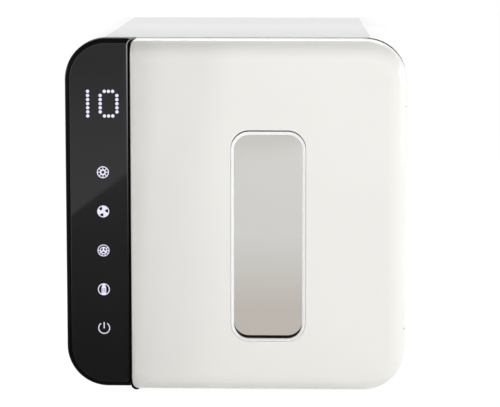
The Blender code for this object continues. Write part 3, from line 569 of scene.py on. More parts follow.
@dataclass(frozen=True)
class Face:
    """A rectangle seen from the front, or from above."""

    left: float
    right: float
    bottom: float
    top: float

    @classmethod
    def of(cls, node: str) -> "Face":
        """The rectangle that a CAD node fills."""
        low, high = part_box(node)
        return cls(low.x, high.x, low.z, high.z)

    @classmethod
    def about(cls, x: float, z: float, width: float, height: float) -> "Face":
        """A rectangle about a centre."""
        return cls(x - width / 2, x + width / 2, z - height / 2, z + height / 2)

    @property
    def x(self) -> float:
        """Middle of the width."""
        return (self.left + self.right) / 2

    @property
    def z(self) -> float:
        """Middle of the height."""
        return (self.bottom + self.top) / 2

    @property
    def width(self) -> float:
        """Distance from left to right."""
        return self.right - self.left

    @property
    def height(self) -> float:
        """Distance from bottom to top."""
        return self.top - self.bottom

    def drawn(self, left: float, right: float, bottom: float, top: float) -> "Face":
        """The rectangle with each side drawn in by its own amount."""
        return Face(self.left + left, self.right - right, self.bottom + bottom, self.top - top)

    def grown(self, amount: float) -> "Face":
        """The rectangle with every side moved out by an amount."""
        return self.drawn(-amount, -amount, -amount, -amount)

    def rounded(self, radius: float, right_radius: float | None = None) -> Outline:
        """The outline with round corners, anticlockwise from the lower right.

        Args:
            radius: Radius of all corners, or of the left ones.
            right_radius: Radius of the right corners, where it differs.

        Returns:
            Points in x and z.
        """
        near = radius if right_radius is None else right_radius
        corners = (
            (self.right - near, self.bottom + near, near, 270.0),
            (self.right - near, self.top - near, near, 0.0),
            (self.left + radius, self.top - radius, radius, 90.0),
            (self.left + radius, self.bottom + radius, radius, 180.0),
        )
        points = []
        for x, z, reach, start in corners:
            for step in range(CORNER_STEPS + 1):
                angle = math.radians(start + 90.0 * step / CORNER_STEPS)
                points.append((x + reach * math.cos(angle), z + reach * math.sin(angle)))
        return points


def depths(node: str) -> Pair:
    """The front and rear depth of a CAD node."""
    low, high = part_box(node)
    return low.y, high.y


def shade(data: bpy.types.Mesh) -> None:
    """Shade a mesh smoothly between its sharp edges."""
    data.shade_smooth()
    data.set_sharp_from_angle(angle=SHARP_ANGLE)


def placed(name: str, data: bpy.types.Mesh) -> Piece:
    """A shaded object at the origin, linked to the scene.

    Args:
        name: Name of the piece.
        data: Its mesh, already where it belongs.

    Returns:
        The new object.
    """
    shade(data)
    item = bpy.data.objects.new(name, data)
    bpy.context.scene.collection.objects.link(item)
    return item


def piece_from(name: str, mesh: bmesh.types.BMesh) -> Piece:
    """Turn an edit mesh into a piece whose faces point outwards.

    Args:
        name: Name of the piece.
        mesh: The edit mesh, which is freed.

    Returns:
        The new object.
    """
    bmesh.ops.recalc_face_normals(mesh, faces=mesh.faces)
    data = bpy.data.meshes.new(name)
    mesh.to_mesh(data)
    mesh.free()
    return placed(name, data)


def settle(piece: Piece) -> None:
    """Turn what a piece's modifiers make into its plain mesh.

    Args:
        piece: The piece, which loses its modifiers.
    """
    graph = bpy.context.evaluated_depsgraph_get()
    data = bpy.data.meshes.new_from_object(piece.evaluated_get(graph))
    piece.modifiers.clear()
    piece.data = data
    data.name = piece.name
    shade(data)


def skin(rings: Sequence[Sequence[Vector]], closed: bool = False) -> bmesh.types.BMesh:
    """A closed skin over rings of points.

    Args:
        rings: Rings with the same number of points, in order.
        closed: Whether the last ring joins the first; if not, both ends are capped.

    Returns:
        The edit mesh.
    """
    mesh = bmesh.new()
    loops = [[mesh.verts.new(point) for point in ring] for ring in rings]
    pairs = list(zip(loops, loops[1:]))
    if closed:
        pairs.append((loops[-1], loops[0]))
    for first, second in pairs:
        for index, vertex in enumerate(first):
            follow = (index + 1) % len(first)
            mesh.faces.new((vertex, first[follow], second[follow], second[index]))
    if not closed:
        mesh.faces.new(loops[0])
        mesh.faces.new(loops[-1])
    return mesh


def loft(name: str, levels: Sequence[Level], closed: bool = False,
         axis: Axis = Axis.DEEP) -> Piece:
    """A piece skinned over outlines at successive levels.

    Args:
        name: Name of the piece.
        levels: Level and outline of each ring.
        closed: Whether the section runs round and meets itself.
        axis: Whether the levels are depths of front-view outlines or heights of plan outlines.

    Returns:
        The new object.
    """
    if axis is Axis.UPRIGHT:
        rings = [[Vector((x, y, level)) for x, y in outline] for level, outline in levels]
    else:
        rings = [[Vector((x, level, z)) for x, z in outline] for level, outline in levels]
    return piece_from(name, skin(rings, closed))


def quarter(steps: int) -> list[float]:
    """Angles through a quarter turn, in even steps."""
    return [math.pi / 2 * step / steps for step in range(steps + 1)]


def edge_round(radius: float, steps: int = EDGE_STEPS) -> list[Pair]:
    """Points of a quarter-round edge, from a face to the side.

    Args:
        radius: Radius of the edge.
        steps: Facets of the edge.

    Returns:
        Pairs of the inset from the side and the set-back from the face.
    """
    return [(radius * (1 - math.sin(turn)), radius * (1 - math.cos(turn))) for turn in quarter(steps)]


def drawn_in(back: float, radius: float) -> float:
    """How far a rolled edge draws in, at a distance behind its face."""
    rise = max(0.0, radius - back)
    return radius - math.sqrt(radius * radius - rise * rise)


def barrel(radius: float, first: float, last: float, edge: float) -> list[Pair]:
    """The lathe profile of a round bar with bevelled ends."""
    return [(radius * AXIS_SHARE, first), (radius - edge, first), (radius, first + edge),
            (radius, last - edge), (radius - edge, last), (radius * AXIS_SHARE, last)]


def plate(name: str, face: Face, front: float, rear: float, corner: float, edge: float) -> Piece:
    """A flat plate with round corners and softened edges.

    Args:
        name: Name of the piece.
        face: Its rectangle.
        front: Depth of its front.
        rear: Depth of its back.
        corner: Radius of the corners in front view.
        edge: Radius of the edges all round.

    Returns:
        The new object.
    """
    steps = [(edge * 1.5 + HAIR, 0.0)] + [(inset + HAIR / 2, back) for inset, back in edge_round(edge)]
    steps[-1] = (0.0, edge)
    rings = [(back, face.grown(-inset).rounded(corner - inset)) for inset, back in steps]
    front_side = [(front + back, ring) for back, ring in rings]
    rear_side = [(rear - back, ring) for back, ring in rings]
    return loft(name, front_side + rear_side[::-1])


def block(name: str, low: Sequence[float], high: Sequence[float], edge: float = 0.0) -> Piece:
    """A block between two corners, with bevelled edges.

    Args:
        name: Name of the piece.
        low: Lowest corner.
        high: Highest corner.
        edge: Width of the bevel, or 0 for none.

    Returns:
        The new object.
    """
    mesh = bmesh.new()
    size = Vector(high) - Vector(low)
    place = Matrix.Translation((Vector(low) + Vector(high)) / 2) @ Matrix.Diagonal((*size, 1.0))
    bmesh.ops.create_cube(mesh, matrix=place)
    if edge > 0.0:
        bmesh.ops.bevel(mesh, geom=mesh.edges[:], offset=edge, segments=BEVEL_STEPS, profile=0.5,
                        affect="EDGES")
    return piece_from(name, mesh)


def turned(name: str, profile: Sequence[Pair], place: Sequence[float], axis: Axis) -> Piece:
    """A piece turned on a lathe.

    Args:
        name: Name of the piece.
        profile: Pairs of the radius and the distance along the axis.
        place: Where the axis starts.
        axis: Direction of the axis.

    Returns:
        The new object.
    """
    along = Vector((0.0, 0.0, 0.0))
    along[axis.value] = 1.0
    across = Vector((0.0, 0.0, 0.0))
    across[(axis.value + 1) % 3] = 1.0
    beside = along.cross(across)
    turns = [math.tau * side / ROUND_SIDES for side in range(ROUND_SIDES)]
    spokes = [across * math.cos(turn) + beside * math.sin(turn) for turn in turns]
    rings = []
    for radius, distance in profile:
        middle = Vector(place) + along * distance
        rings.append([middle + spoke * radius for spoke in spokes])
    return piece_from(name, skin(rings))


def carve(piece: Piece, tools: Sequence[Piece],
          operation: str = "DIFFERENCE") -> Piece:
    """Cut tools out of a piece, or join them to it, and delete them.

    Args:
        piece: The piece that is cut.
        tools: Objects that mark what goes.
        operation: What the Boolean does with them.

    Returns:
        The piece.
    """
    for tool in tools:
        step = piece.modifiers.new(tool.name, "BOOLEAN")
        step.operation = operation
        step.solver = "EXACT"
        step.object = tool
    settle(piece)
    for tool in tools:
        bpy.data.objects.remove(tool, do_unlink=True)
    return piece


def merged(name: str, parts: Sequence[Piece]) -> Piece:
    """Separate solids put into one piece.

    Args:
        name: Name of the piece.
        parts: The solids, which are deleted.

    Returns:
        The new object.
    """
    mesh = bmesh.new()
    for part in parts:
        mesh.from_mesh(part.data)
        bpy.data.objects.remove(part, do_unlink=True)
    return piece_from(name, mesh)


def between(ends: Pair, share: float) -> float:
    """The value at a share of the way from one end to the other."""
    return ends[0] + (ends[1] - ends[0]) * share


def scaled(profile: Sequence[Pair], radius: float, length: float) -> list[Pair]:
    """A lathe profile given as shares of a radius and a length, at its real size."""
    return [(radius * wide, length * far) for wide, far in profile]


def numbered(stem: str, count: int = 4) -> list[str]:
    """The names of CAD nodes that end in a number from 1."""
    return [f"{stem}_{number}" for number in range(1, count + 1)]


class SizeKind(enum.Enum):
    """Kinds of input that a rule has."""

    LENGTH = "NodeSocketFloat"
    COUNT = "NodeSocketInt"
    PLACE = "NodeSocketVector"
    SHAPE = "NodeSocketObject"
    FINISH = "NodeSocketMaterial"


class Rule(NodeKit):
    """A Geometry Nodes tree built in code, with named inputs for its sizes."""

    def __init__(self, name: str) -> None:
        """Start an empty tree.

        Args:
            name: Name of the tree.
        """
        super().__init__(bpy.data.node_groups.new(name, "GeometryNodeTree"))
        self.source = self.tree.nodes.new("NodeGroupInput")
        self.target = self.tree.nodes.new("NodeGroupOutput")
        for side in ("INPUT", "OUTPUT"):
            self.tree.interface.new_socket("Geometry", in_out=side, socket_type="NodeSocketGeometry")

    def size(self, name: str, kind: SizeKind = SizeKind.LENGTH) -> Socket:
        """Add a named input.

        Args:
            name: Name of the input.
            kind: What it holds.

        Returns:
            The socket that gives its value.
        """
        self.tree.interface.new_socket(name, in_out="INPUT", socket_type=kind.value)
        return self.source.outputs[name]

    def quad(self, width: str, height: str, radius: str, steps: object) -> Socket:
        """A rectangle with round corners, as a curve.

        Args:
            width: Name of the input for its width.
            height: Name of the input for its height.
            radius: Name of the input for the corners' radius.
            steps: Facets of a corner, as a number or a socket.

        Returns:
            The curve.
        """
        curve = self.add("GeometryNodeCurvePrimitiveQuadrilateral", Width=self.size(width),
                         Height=self.size(height))
        return self.add("GeometryNodeFilletCurve", {"mode": "POLY"}, Curve=curve, Count=steps,
                        Radius=self.size(radius))

    def shape(self) -> Socket:
        """The geometry of the object that the input named Shape holds."""
        held = self.node("GeometryNodeObjectInfo", Object=self.size("Shape", SizeKind.SHAPE))
        return held.outputs["Geometry"]

    def close(self, geometry: Socket) -> "Rule":
        """End the tree in real geometry with a material.

        Args:
            geometry: What the tree has made.

        Returns:
            The rule itself.
        """
        real = self.add("GeometryNodeRealizeInstances", Geometry=geometry)
        dressed = self.add("GeometryNodeSetMaterial", Geometry=real,
                           Material=self.size("Finish", SizeKind.FINISH))
        self.tree.links.new(dressed, self.target.inputs["Geometry"])
        return self

    def grow(self, name: str, sizes: dict[str, object],
             seeds: Iterable[Sequence[float]] = ()) -> Piece:
        """Make a piece by the rule.

        Args:
            name: Name of the piece.
            sizes: Values of the inputs, by name; a shape among them is deleted.
            seeds: Points that the rule starts from, if it uses any.

        Returns:
            The new object, as plain mesh.
        """
        data = bpy.data.meshes.new(name)
        data.from_pydata([tuple(seed) for seed in seeds], [], [])
        piece = placed(name, data)
        step = piece.modifiers.new(self.tree.name, "NODES")
        step.node_group = self.tree
        for item in self.tree.interface.items_tree:
            if item.in_out == "INPUT" and item.name in sizes:
                step[item.identifier] = sizes[item.name]
        settle(piece)
        if "Shape" in sizes:
            bpy.data.objects.remove(sizes["Shape"], do_unlink=True)
        return piece


def frame_rule() -> Rule:
    """A rounded-rectangle frame: a filleted path with a filleted section swept along it.

    Returns:
        The rule.
    """
    rule = Rule("rounded_frame")
    path = rule.quad("Width", "Height", "Corner Radius", rule.size("Corner Steps", SizeKind.COUNT))
    path = rule.add("GeometryNodeSetCurveNormal", {"mode": "Z_UP"}, Curve=path)
    section = rule.quad("Wall", "Depth", "Edge Radius", rule.size("Edge Steps", SizeKind.COUNT))
    swept = rule.add("GeometryNodeCurveToMesh", Curve=path, Profile_Curve=section)
    stood = rule.add("GeometryNodeTransform", Geometry=swept, Rotation=rule.size("Turn", SizeKind.PLACE),
                     Translation=rule.size("Place", SizeKind.PLACE))
    return rule.close(stood)


def row_rule() -> Rule:
    """A row of straight bars with soft edges, all turned the same way.

    Returns:
        The rule.
    """
    rule = Rule("bar_row")
    half = rule.math("MULTIPLY", rule.size("Length"), 0.5)
    start = rule.add("ShaderNodeCombineXYZ", Y=rule.math("MULTIPLY", half, -1.0))
    end = rule.add("ShaderNodeCombineXYZ", Y=half)
    line = rule.add("GeometryNodeCurvePrimitiveLine", Start=start, End=end)
    section = rule.quad("Width", "Thickness", "Edge Radius", BEVEL_STEPS)
    bar = rule.add("GeometryNodeCurveToMesh", Curve=line, Profile_Curve=section, Fill_Caps=True)
    row = rule.add("GeometryNodeMeshLine", Count=rule.size("Count", SizeKind.COUNT),
                   Start_Location=rule.size("First", SizeKind.PLACE),
                   Offset=rule.size("Step", SizeKind.PLACE))
    bars = rule.add("GeometryNodeInstanceOnPoints", Points=row, Instance=bar,
                    Rotation=rule.size("Turn", SizeKind.PLACE))
    return rule.close(bars)


def dot_rule() -> Rule:
    """A flat round dot, facing the front, on every seed point.

    Returns:
        The rule.
    """
    rule = Rule("lit_dots")
    dot = rule.add("GeometryNodeMeshCylinder", Vertices=DOT_SIDES, Radius=rule.size("Radius"),
                   Depth=rule.size("Thickness"))
    facing = rule.add("GeometryNodeTransform", Geometry=dot, Rotation=STANDING)
    dots = rule.add("GeometryNodeInstanceOnPoints", Points=rule.source.outputs["Geometry"], Instance=facing)
    return rule.close(dots)


def repeat_rule() -> Rule:
    """A shape repeated on every seed point.

    Returns:
        The rule.
    """
    rule = Rule("repeated_shape")
    copies = rule.add("GeometryNodeInstanceOnPoints", Points=rule.source.outputs["Geometry"],
                      Instance=rule.shape())
    return rule.close(copies)


def wheel_rule() -> Rule:
    """A shape repeated round the Y axis at even turns, then moved to its centre.

    Returns:
        The rule.
    """
    rule = Rule("wheel_of_shapes")
    shape = rule.shape()
    count = rule.size("Count", SizeKind.COUNT)
    spots = rule.add("GeometryNodeMeshLine", Count=count, Offset=(0.0, 0.0, 0.0))
    share = rule.math("DIVIDE", math.tau, count)
    turn = rule.math("MULTIPLY", rule.add("GeometryNodeInputIndex"), share)
    turned_by = rule.add("ShaderNodeCombineXYZ", Y=turn)
    copies = rule.add("GeometryNodeInstanceOnPoints", Points=spots, Instance=shape, Rotation=turned_by)
    moved = rule.add("GeometryNodeTransform", Geometry=copies, Translation=rule.size("Place", SizeKind.PLACE))
    return rule.close(moved)


def fit(piece: Piece, body: Body, finish: Finish, *stands_for: str) -> None:
    """Dress a finished piece and put it on its body.

    Args:
        piece: The piece, in place.
        body: The body it rides on.
        finish: Its finish.
        *stands_for: CAD nodes that it is shown instead of.
    """
    piece.data.materials.clear()
    piece.data.materials.append(finish.material())
    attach(piece, body.value)
    if stands_for:
        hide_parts(*stands_for)
    LOG.info("%s rides on %s", piece.name, body.value)


def dress(finish: Finish, *nodes: str) -> None:
    """Give CAD nodes that stay in view a finish.

    Args:
        finish: The finish.
        *nodes: Names of the nodes.
    """
    for node in nodes:
        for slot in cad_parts[node].material_slots:
            slot.material = finish.material()
        LOG.info("%s keeps its solid", node)


DOOR_WHITE = Moulded("finish_door_white", Slot.WARM_WHITE, (0.80, 0.787, 0.752), 0.34, stray=0.012,
                     grain=420.0, coat=0.8)
RING_WHITE = Moulded("finish_ring_white", Slot.WARM_WHITE, (0.88, 0.88, 0.885), 0.18, stray=0.01)
# The paler colour on the casing's bends is a painted highlight.
CASING_PALE = Wrapped("finish_casing_pale", Slot.CASING, (0.63, 0.64, 0.635), 0.36, 0.0, Axis.ACROSS,
                      depth=0.000004, coat=0.6, bent=(0.97, 0.97, 0.97))
RIM_BLACK = Moulded("finish_rim_black", Slot.GLOSS_BLACK, (0.0065, 0.0055, 0.0055), 0.22, stray=0.1,
                    specular=0.03)
FACE_BLACK = Moulded("finish_face_black", Slot.BLACK_GLASS, (0.0045, 0.0045, 0.005), 0.03, stray=0.15,
                     polish=0.012, depth=0.0000005)
# Tones of the edge line, dark at its foot and pale at its top: a painted highlight.
EDGE_HIGHLIGHT_TONES = (
    (0.0, (0.03, 0.03, 0.03)),
    (1.0, (0.34, 0.33, 0.37)),
)
EDGE_HIGHLIGHT = Silvered("finish_edge_light", Slot.BLACK_GLASS, EDGE_HIGHLIGHT_TONES, 0.02, 0.34, 0.17, 3.0)
# Tones of the pane's mirror, darker and warmer towards its foot: a painted reflection.
PANE_REFLECTION_TONES = (
    (0.0, (0.482, 0.448, 0.406)),
    (0.15, (0.482, 0.450, 0.409)),
    (0.32, (0.540, 0.522, 0.492)),
    (0.5, (0.586, 0.580, 0.563)),
    (0.75, (0.580, 0.574, 0.556)),
    (1.0, (0.556, 0.545, 0.513)),
)
PANE_MIRROR = Silvered("finish_pane_mirror", Slot.MIRROR_GLASS, PANE_REFLECTION_TONES, 0.055, 0.259)
# Black for the door's free trim, and for the parting band and window ring, which are painted shade: dark
# pieces put in gaps that are only in shade.
SHADE_AND_TRIM_BLACK = Moulded("finish_shadow_black", Slot.DARK_PLASTIC, (0.009, 0.008, 0.008), 0.7, specular=0.04)
DARK_GRAIN = Moulded("finish_dark_grain", Slot.DARK_PLASTIC, (0.035, 0.035, 0.037), 0.5, stray=0.08,
                     depth=0.00004)
WHITE_SATIN = Moulded("finish_white_satin", Slot.WHITE_PLASTIC, (0.78, 0.78, 0.77), 0.38, stray=0.015)
SOFT_SEAL = Moulded("finish_soft_seal", Slot.SILICONE, (0.27, 0.27, 0.28), 0.6, stray=0.05, depth=0.00003)
FOOT_BLACK = Moulded("finish_foot_black", Slot.FOOT_RUBBER, (0.022, 0.022, 0.024), 0.8, stray=0.1,
                     depth=0.00005)
LINER_STEEL = Brushed("finish_liner_steel", Slot.BRIGHT_STEEL, (0.72, 0.72, 0.72), 0.22, 1.0, Axis.DEEP)
ZINC = Plated("finish_zinc", Slot.ZINC_STEEL, (0.56, 0.57, 0.60), 0.34)
FIN_METAL = Brushed("finish_fin_metal", Slot.HEATER_METAL, (0.62, 0.62, 0.62), 0.4, 1.0, Axis.UPRIGHT)
LAMP_TUBE = Moulded("finish_lamp_tube", Slot.LAMP_GLASS, (0.80, 0.83, 0.90), 0.10, stray=0.02, coat=0.5)
BOARD_GREEN = Etched("finish_board_green", Slot.CIRCUIT_BOARD, (0.012, 0.095, 0.045), (0.10, 0.26, 0.12))
GLOW = Lit("finish_glow", Slot.DISPLAY_LIGHT, (0.83, 0.79, 0.98), 1.0)
FLEECE = Felted("finish_fleece", Slot.FILTER_FLEECE, (0.66, 0.66, 0.62))


@dataclass(frozen=True)
class SoftBox:
    """A soft box that is aimed at the object."""

    name: str
    place: Point
    size: Pair
    watts: float
    in_gloss: bool = True


@dataclass(frozen=True)
class Card:
    """A grey card out of the camera's sight, with a tone at each of two depths.

    It either shows in gloss or casts a shadow.
    """

    name: str
    corners: tuple[Point, Point, Point, Point]
    tones: Pair = (0.55, 0.15)
    span: Pair = (-2.0, -0.25)
    in_gloss: bool = False


SOFT_BOXES = (
    SoftBox("front_box", (0.80, -1.9, 0.40), (1.7, 0.76), 18.2, in_gloss=False),
    SoftBox("top_box", (0.0, 0.85, 1.5), (1.6, 0.70), 12.7),
    SoftBox("left_box", (-1.3, 0.30, 0.42), (0.9, 0.36), 8.0),
    SoftBox("right_box", (1.3, 0.10, 0.42), (0.9, 0.36), 5.8),
    SoftBox("fill_box", (-1.0, -1.3, 0.35), (0.30, 0.9), 3.0),
)
LOW = HAIR / 2
CARDS = (
    Card("mirrored_card",
         ((-0.3895, -0.17, HAIR), (-0.186, -2.35, HAIR), (-0.16, -2.35, HAIR), (-0.088, -0.168, HAIR)),
         (0.55, 0.21), in_gloss=True),
    Card("mirrored_head_card",
         ((-1.0, -1.35, LOW), (-1.0, -4.9, LOW), (-0.482, -4.9, LOW), (-0.2006, -1.35, LOW)),
         (0.62, 0.96), (-3.9, -1.5), in_gloss=True),
    Card("left_shading_card",
         ((-0.50, -0.27, 0.0), (-0.130, -0.27, 0.0), (-0.097, -0.27, 0.6), (-0.50, -0.27, 0.6))),
    Card("edge_shading_card",
         ((-0.30, -0.20, 0.0), (-0.092, -0.20, 0.0), (-0.044, -0.24, 0.6), (-0.30, -0.24, 0.6))),
    Card("right_shading_card",
         ((0.45, -0.50, 0.0), (0.80, -0.50, 0.0), (0.80, -0.50, 0.7), (0.45, -0.50, 0.7))),
    Card("ceiling_card",
         ((-1.5, -1.2, 1.3), (1.5, -1.2, 1.3), (1.5, 0.60, 1.3), (-1.5, 0.60, 1.3)),
         (0.97, 0.20), (-1.2, 0.4), in_gloss=True),
)


@dataclass
class Studio:
    """The camera, the white floor and surroundings, the soft boxes and the cards."""

    eye: Point = (0.0776, -2.4703, 0.5145)
    tilt_deg: float = 8.053
    turn_deg: float = 1.577
    lens_mm: float = 174.43
    sensor_mm: float = 36.0
    floor_reach: float = 6.0
    floor_white: float = 0.92
    floor_glow: float = 0.955
    floor_shadow: float = 0.12
    ambient: float = 0.40
    aim: Point = (0.0, 0.0, 0.17)

    def build(self) -> None:
        """Set up everything that isn't part of the object."""
        bpy.context.scene.view_settings.view_transform = "Standard"
        self.add_camera()
        self.add_floor()
        self.add_world()
        for box in SOFT_BOXES:
            self.add_box(box)
        for card in CARDS:
            self.add_card(card)

    def add_camera(self) -> None:
        """The camera at the photograph's viewing angle."""
        lens = bpy.data.cameras.new("camera")
        lens.sensor_width = self.sensor_mm
        lens.lens = self.lens_mm
        camera = bpy.data.objects.new("camera", lens)
        camera.location = self.eye
        camera.rotation_euler = (math.radians(90.0 - self.tilt_deg), 0.0, math.radians(self.turn_deg))
        bpy.context.scene.collection.objects.link(camera)
        bpy.context.scene.camera = camera

    def seen(self, kit: NodeKit) -> Socket:
        """1 for rays that show a surface to the eye, straight or by way of gloss or glass.

        Args:
            kit: The tree that asks.

        Returns:
            The value socket.
        """
        path = kit.node("ShaderNodeLightPath").outputs
        total = path["Is Camera Ray"]
        for kind in ("Is Glossy Ray", "Is Transmission Ray"):
            total = kit.math("MAXIMUM", total, path[kind])
        return total

    def add_floor(self) -> None:
        """The white floor, which keeps the object's shadow."""
        mesh = bmesh.new()
        bmesh.ops.create_grid(mesh, x_segments=1, y_segments=1, size=self.floor_reach)
        floor = piece_from("floor", mesh)
        paint = bpy.data.materials.new("floor_white")
        paint.use_nodes = True
        kit = NodeKit(paint.node_tree)
        kit.tree.nodes.clear()
        matt = kit.add("ShaderNodeBsdfDiffuse", Color=(self.floor_white,) * 3 + (1.0,))
        shadow = kit.add("ShaderNodeBsdfDiffuse", Color=(self.floor_shadow,) * 3 + (1.0,))
        glow = kit.add("ShaderNodeEmission", Strength=self.floor_glow)
        shown = kit.add("ShaderNodeAddShader", n0=glow, n1=shadow)
        mix = kit.add("ShaderNodeMixShader", n0=self.seen(kit), n1=matt, n2=shown)
        kit.node("ShaderNodeOutputMaterial", Surface=mix)
        floor.data.materials.append(paint)

    def add_world(self) -> None:
        """White surroundings for the eye, and a quieter fill light for the object."""
        world = bpy.data.worlds.new("surroundings")
        world.use_nodes = True
        kit = NodeKit(world.node_tree)
        kit.tree.nodes.clear()
        fill = kit.add("ShaderNodeBackground", Color=WHITE, Strength=self.ambient)
        white = kit.add("ShaderNodeBackground", Color=WHITE)
        mix = kit.add("ShaderNodeMixShader", n0=self.seen(kit), n1=fill, n2=white)
        kit.node("ShaderNodeOutputWorld", Surface=mix)
        bpy.context.scene.world = world

    def add_box(self, plan: SoftBox) -> None:
        """Set up a soft box.

        Args:
            plan: Its place, size and power.
        """
        lamp = bpy.data.lights.new(plan.name, "AREA")
        lamp.shape = "RECTANGLE"
        lamp.size, lamp.size_y = plan.size
        lamp.energy = plan.watts
        box = bpy.data.objects.new(plan.name, lamp)
        box.location = plan.place
        box.rotation_euler = (Vector(self.aim) - Vector(plan.place)).to_track_quat("-Z", "Y").to_euler()
        box.visible_glossy = plan.in_gloss
        bpy.context.scene.collection.objects.link(box)

    def add_card(self, plan: Card) -> None:
        """Set up a card.

        Args:
            plan: Its corners and tones.
        """
        mesh = bmesh.new()
        mesh.faces.new([mesh.verts.new(corner) for corner in plan.corners])
        card = piece_from(plan.name, mesh)
        kit = Shader(plan.name)
        kit.set(Base_Color=BLACK, Specular_IOR_Level=0.0, Emission_Color=WHITE,
                Emission_Strength=kit.spread(kit.along("Y"), *plan.tones, *plan.span))
        card.data.materials.append(kit.material)
        card.visible_camera = False
        card.visible_diffuse = False
        card.visible_glossy = plan.in_gloss
        card.visible_shadow = not plan.in_gloss


@dataclass
class ControlStrip:
    """The black strip beside the door: rim, gloss face, lit number and touch symbols."""

    corner: float = 0.040
    roll: float = 0.004
    inner_corner: float = 0.003
    outer_corner: float = 0.0008
    inner_roll: float = 0.0007
    wall: float = 0.0025
    face_edge: float = 0.0004
    sink: float = 0.00015
    edge_width: float = 0.0010
    bend_radius: float = 0.0068
    bend_drop: float = 0.0005
    fill_gap: float = 0.0006
    column: float = 0.0364
    display_drop: float = 0.0632
    first_key_drop: float = 0.1298
    key_pitch: float = 0.0383
    mark_height: float = 0.00008
    mark_step: float = 0.000003
    dot_pitch: Pair = (0.004035, 0.00397)
    dot_radius: float = 0.00162
    dot_lead: float = 0.01414
    symbol_radius: float = 0.0058
    symbol_stroke: float = 0.0009
    housing: Face = field(default_factory=lambda: Face.of("control_panel_housing"))
    pane: Face = field(default_factory=lambda: Face.of("control_panel_glass"))

    def build(self) -> None:
        """Build and dress the strip."""
        self.front, self.pane_rear = depths("control_panel_glass")
        self.rear = depths("control_panel_housing")[1]
        self.key_x = self.housing.left + self.column
        self.mark_y = self.front - self.mark_height
        fit(self.rim(), Body.CABINET, RIM_BLACK, "control_panel_housing")
        fit(self.gloss_face(), Body.CABINET, FACE_BLACK, "control_panel_glass")
        fit(self.edge_line(), Body.CABINET, EDGE_HIGHLIGHT)
        fit(self.corner_fill(), Body.CABINET, RIM_BLACK)
        fit(self.number(), Body.CABINET, GLOW)
        makers = (self.sun, self.fan, self.sun_and_fan, self.bottle, self.power)
        for row, maker in enumerate(makers):
            z = self.housing.top - self.first_key_drop - row * self.key_pitch
            name = f"symbol_{maker.__name__}"
            fit(self.united(name, maker(self.key_x, z)), Body.CABINET, GLOW)
        dress(GLOW, "led_matrix", "touch_sensor_strip")
        dress(BOARD_GREEN, "display_board", "main_board")

    def outline(self, inset: float, inner_inset: float, inner_corner: float) -> Outline:
        """The strip's outline, drawn in.

        Args:
            inset: Distance from the left, top and bottom.
            inner_inset: Distance from the side next to the door.
            inner_corner: Radius of the corners next to the door.

        Returns:
            Points in x and z.
        """
        face = self.housing.drawn(inset, inner_inset, inset, inset)
        return face.rounded(self.corner - inset, inner_corner)

    def rim(self) -> Piece:
        """The rolled black base that the gloss face is let into.

        Returns:
            The new piece.
        """
        inset, inner_inset = self.pane.left - self.housing.left, self.housing.right - self.pane.right
        seat = self.outline(inset - HAIR, inner_inset - HAIR, self.inner_corner)
        seat_y = self.pane_rear + HAIR
        lip_y = self.front + self.sink
        levels = [(seat_y, seat), (lip_y, seat)]
        for drawn, back in edge_round(self.roll, ROLL_STEPS):
            inner_drawn = drawn_in(back, self.inner_roll)
            levels.append((lip_y + back, self.outline(drawn, inner_drawn, self.outer_corner)))
        inside = self.outline(self.wall, self.wall, self.outer_corner)
        levels.append((self.rear, self.outline(0.0, 0.0, self.outer_corner)))
        levels += [(self.rear, inside), (seat_y + self.wall, inside)]
        base = loft("strip_rim", levels)
        ports = []
        for node in ("led_matrix", "touch_sensor_strip"):
            low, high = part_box(node)
            room = Vector((HAIR, OVERCUT, HAIR))
            ports.append(block(f"{node}_port", low - room, high + room))
        return carve(base, ports)

    def bend(self, x: float, top: float) -> Outline:
        """A line that rises beside the door and bends over its upper corner.

        Args:
            x: Where it rises.
            top: Height at which it ends level.

        Returns:
            Points in x and z, from the foot.
        """
        reach = self.bend_radius
        points = [(x, self.pane.bottom + self.inner_corner)]
        points += [(x + reach * (1 - math.cos(turn)), top - reach * (1 - math.sin(turn)))
                   for turn in quarter(CORNER_STEPS)]
        return points

    def edge_line(self) -> Piece:
        """The bright cut edge of the face beside the door, curving over the door's corner: a mirror strip
        whose colour, pale at the top and dark at the foot, is a painted highlight.

        Returns:
            The new piece.
        """
        top = self.housing.top - self.bend_drop
        outer = self.bend(self.pane.right - self.edge_width, top)
        inner = self.bend(self.pane.right, top - HAIR / 2)
        points = outer + inner[::-1]
        return loft("strip_edge_line", [(self.front - HAIR / 4, points), (self.front + HAIR, points)])

    def corner_fill(self) -> Piece:
        """The black corner of the strip that reaches over the door's round corner.

        Returns:
            The new piece.
        """
        top = self.housing.top - self.bend_drop
        left = self.housing.right - self.wall / 2
        curve = self.bend(self.housing.right + self.fill_gap, top)[1:]
        points = [(left, curve[0][1])] + curve + [(left, top + HAIR / 3)]
        return loft("strip_corner_fill", [(self.front + HAIR / 3, points), (self.rear, points)])

    def gloss_face(self) -> Piece:
        """The polished face, with softened edges.

        Returns:
            The new piece.
        """
        inset, inner_inset = self.pane.left - self.housing.left, self.housing.right - self.pane.right
        rounds = [(2 * self.face_edge, 0.0)] + edge_round(self.face_edge)
        rounds.append((0.0, self.pane_rear - self.front))
        levels = [(self.front + back, self.outline(inset + drawn, inner_inset + drawn, self.inner_corner))
                  for drawn, back in rounds]
        return loft("strip_face", levels)

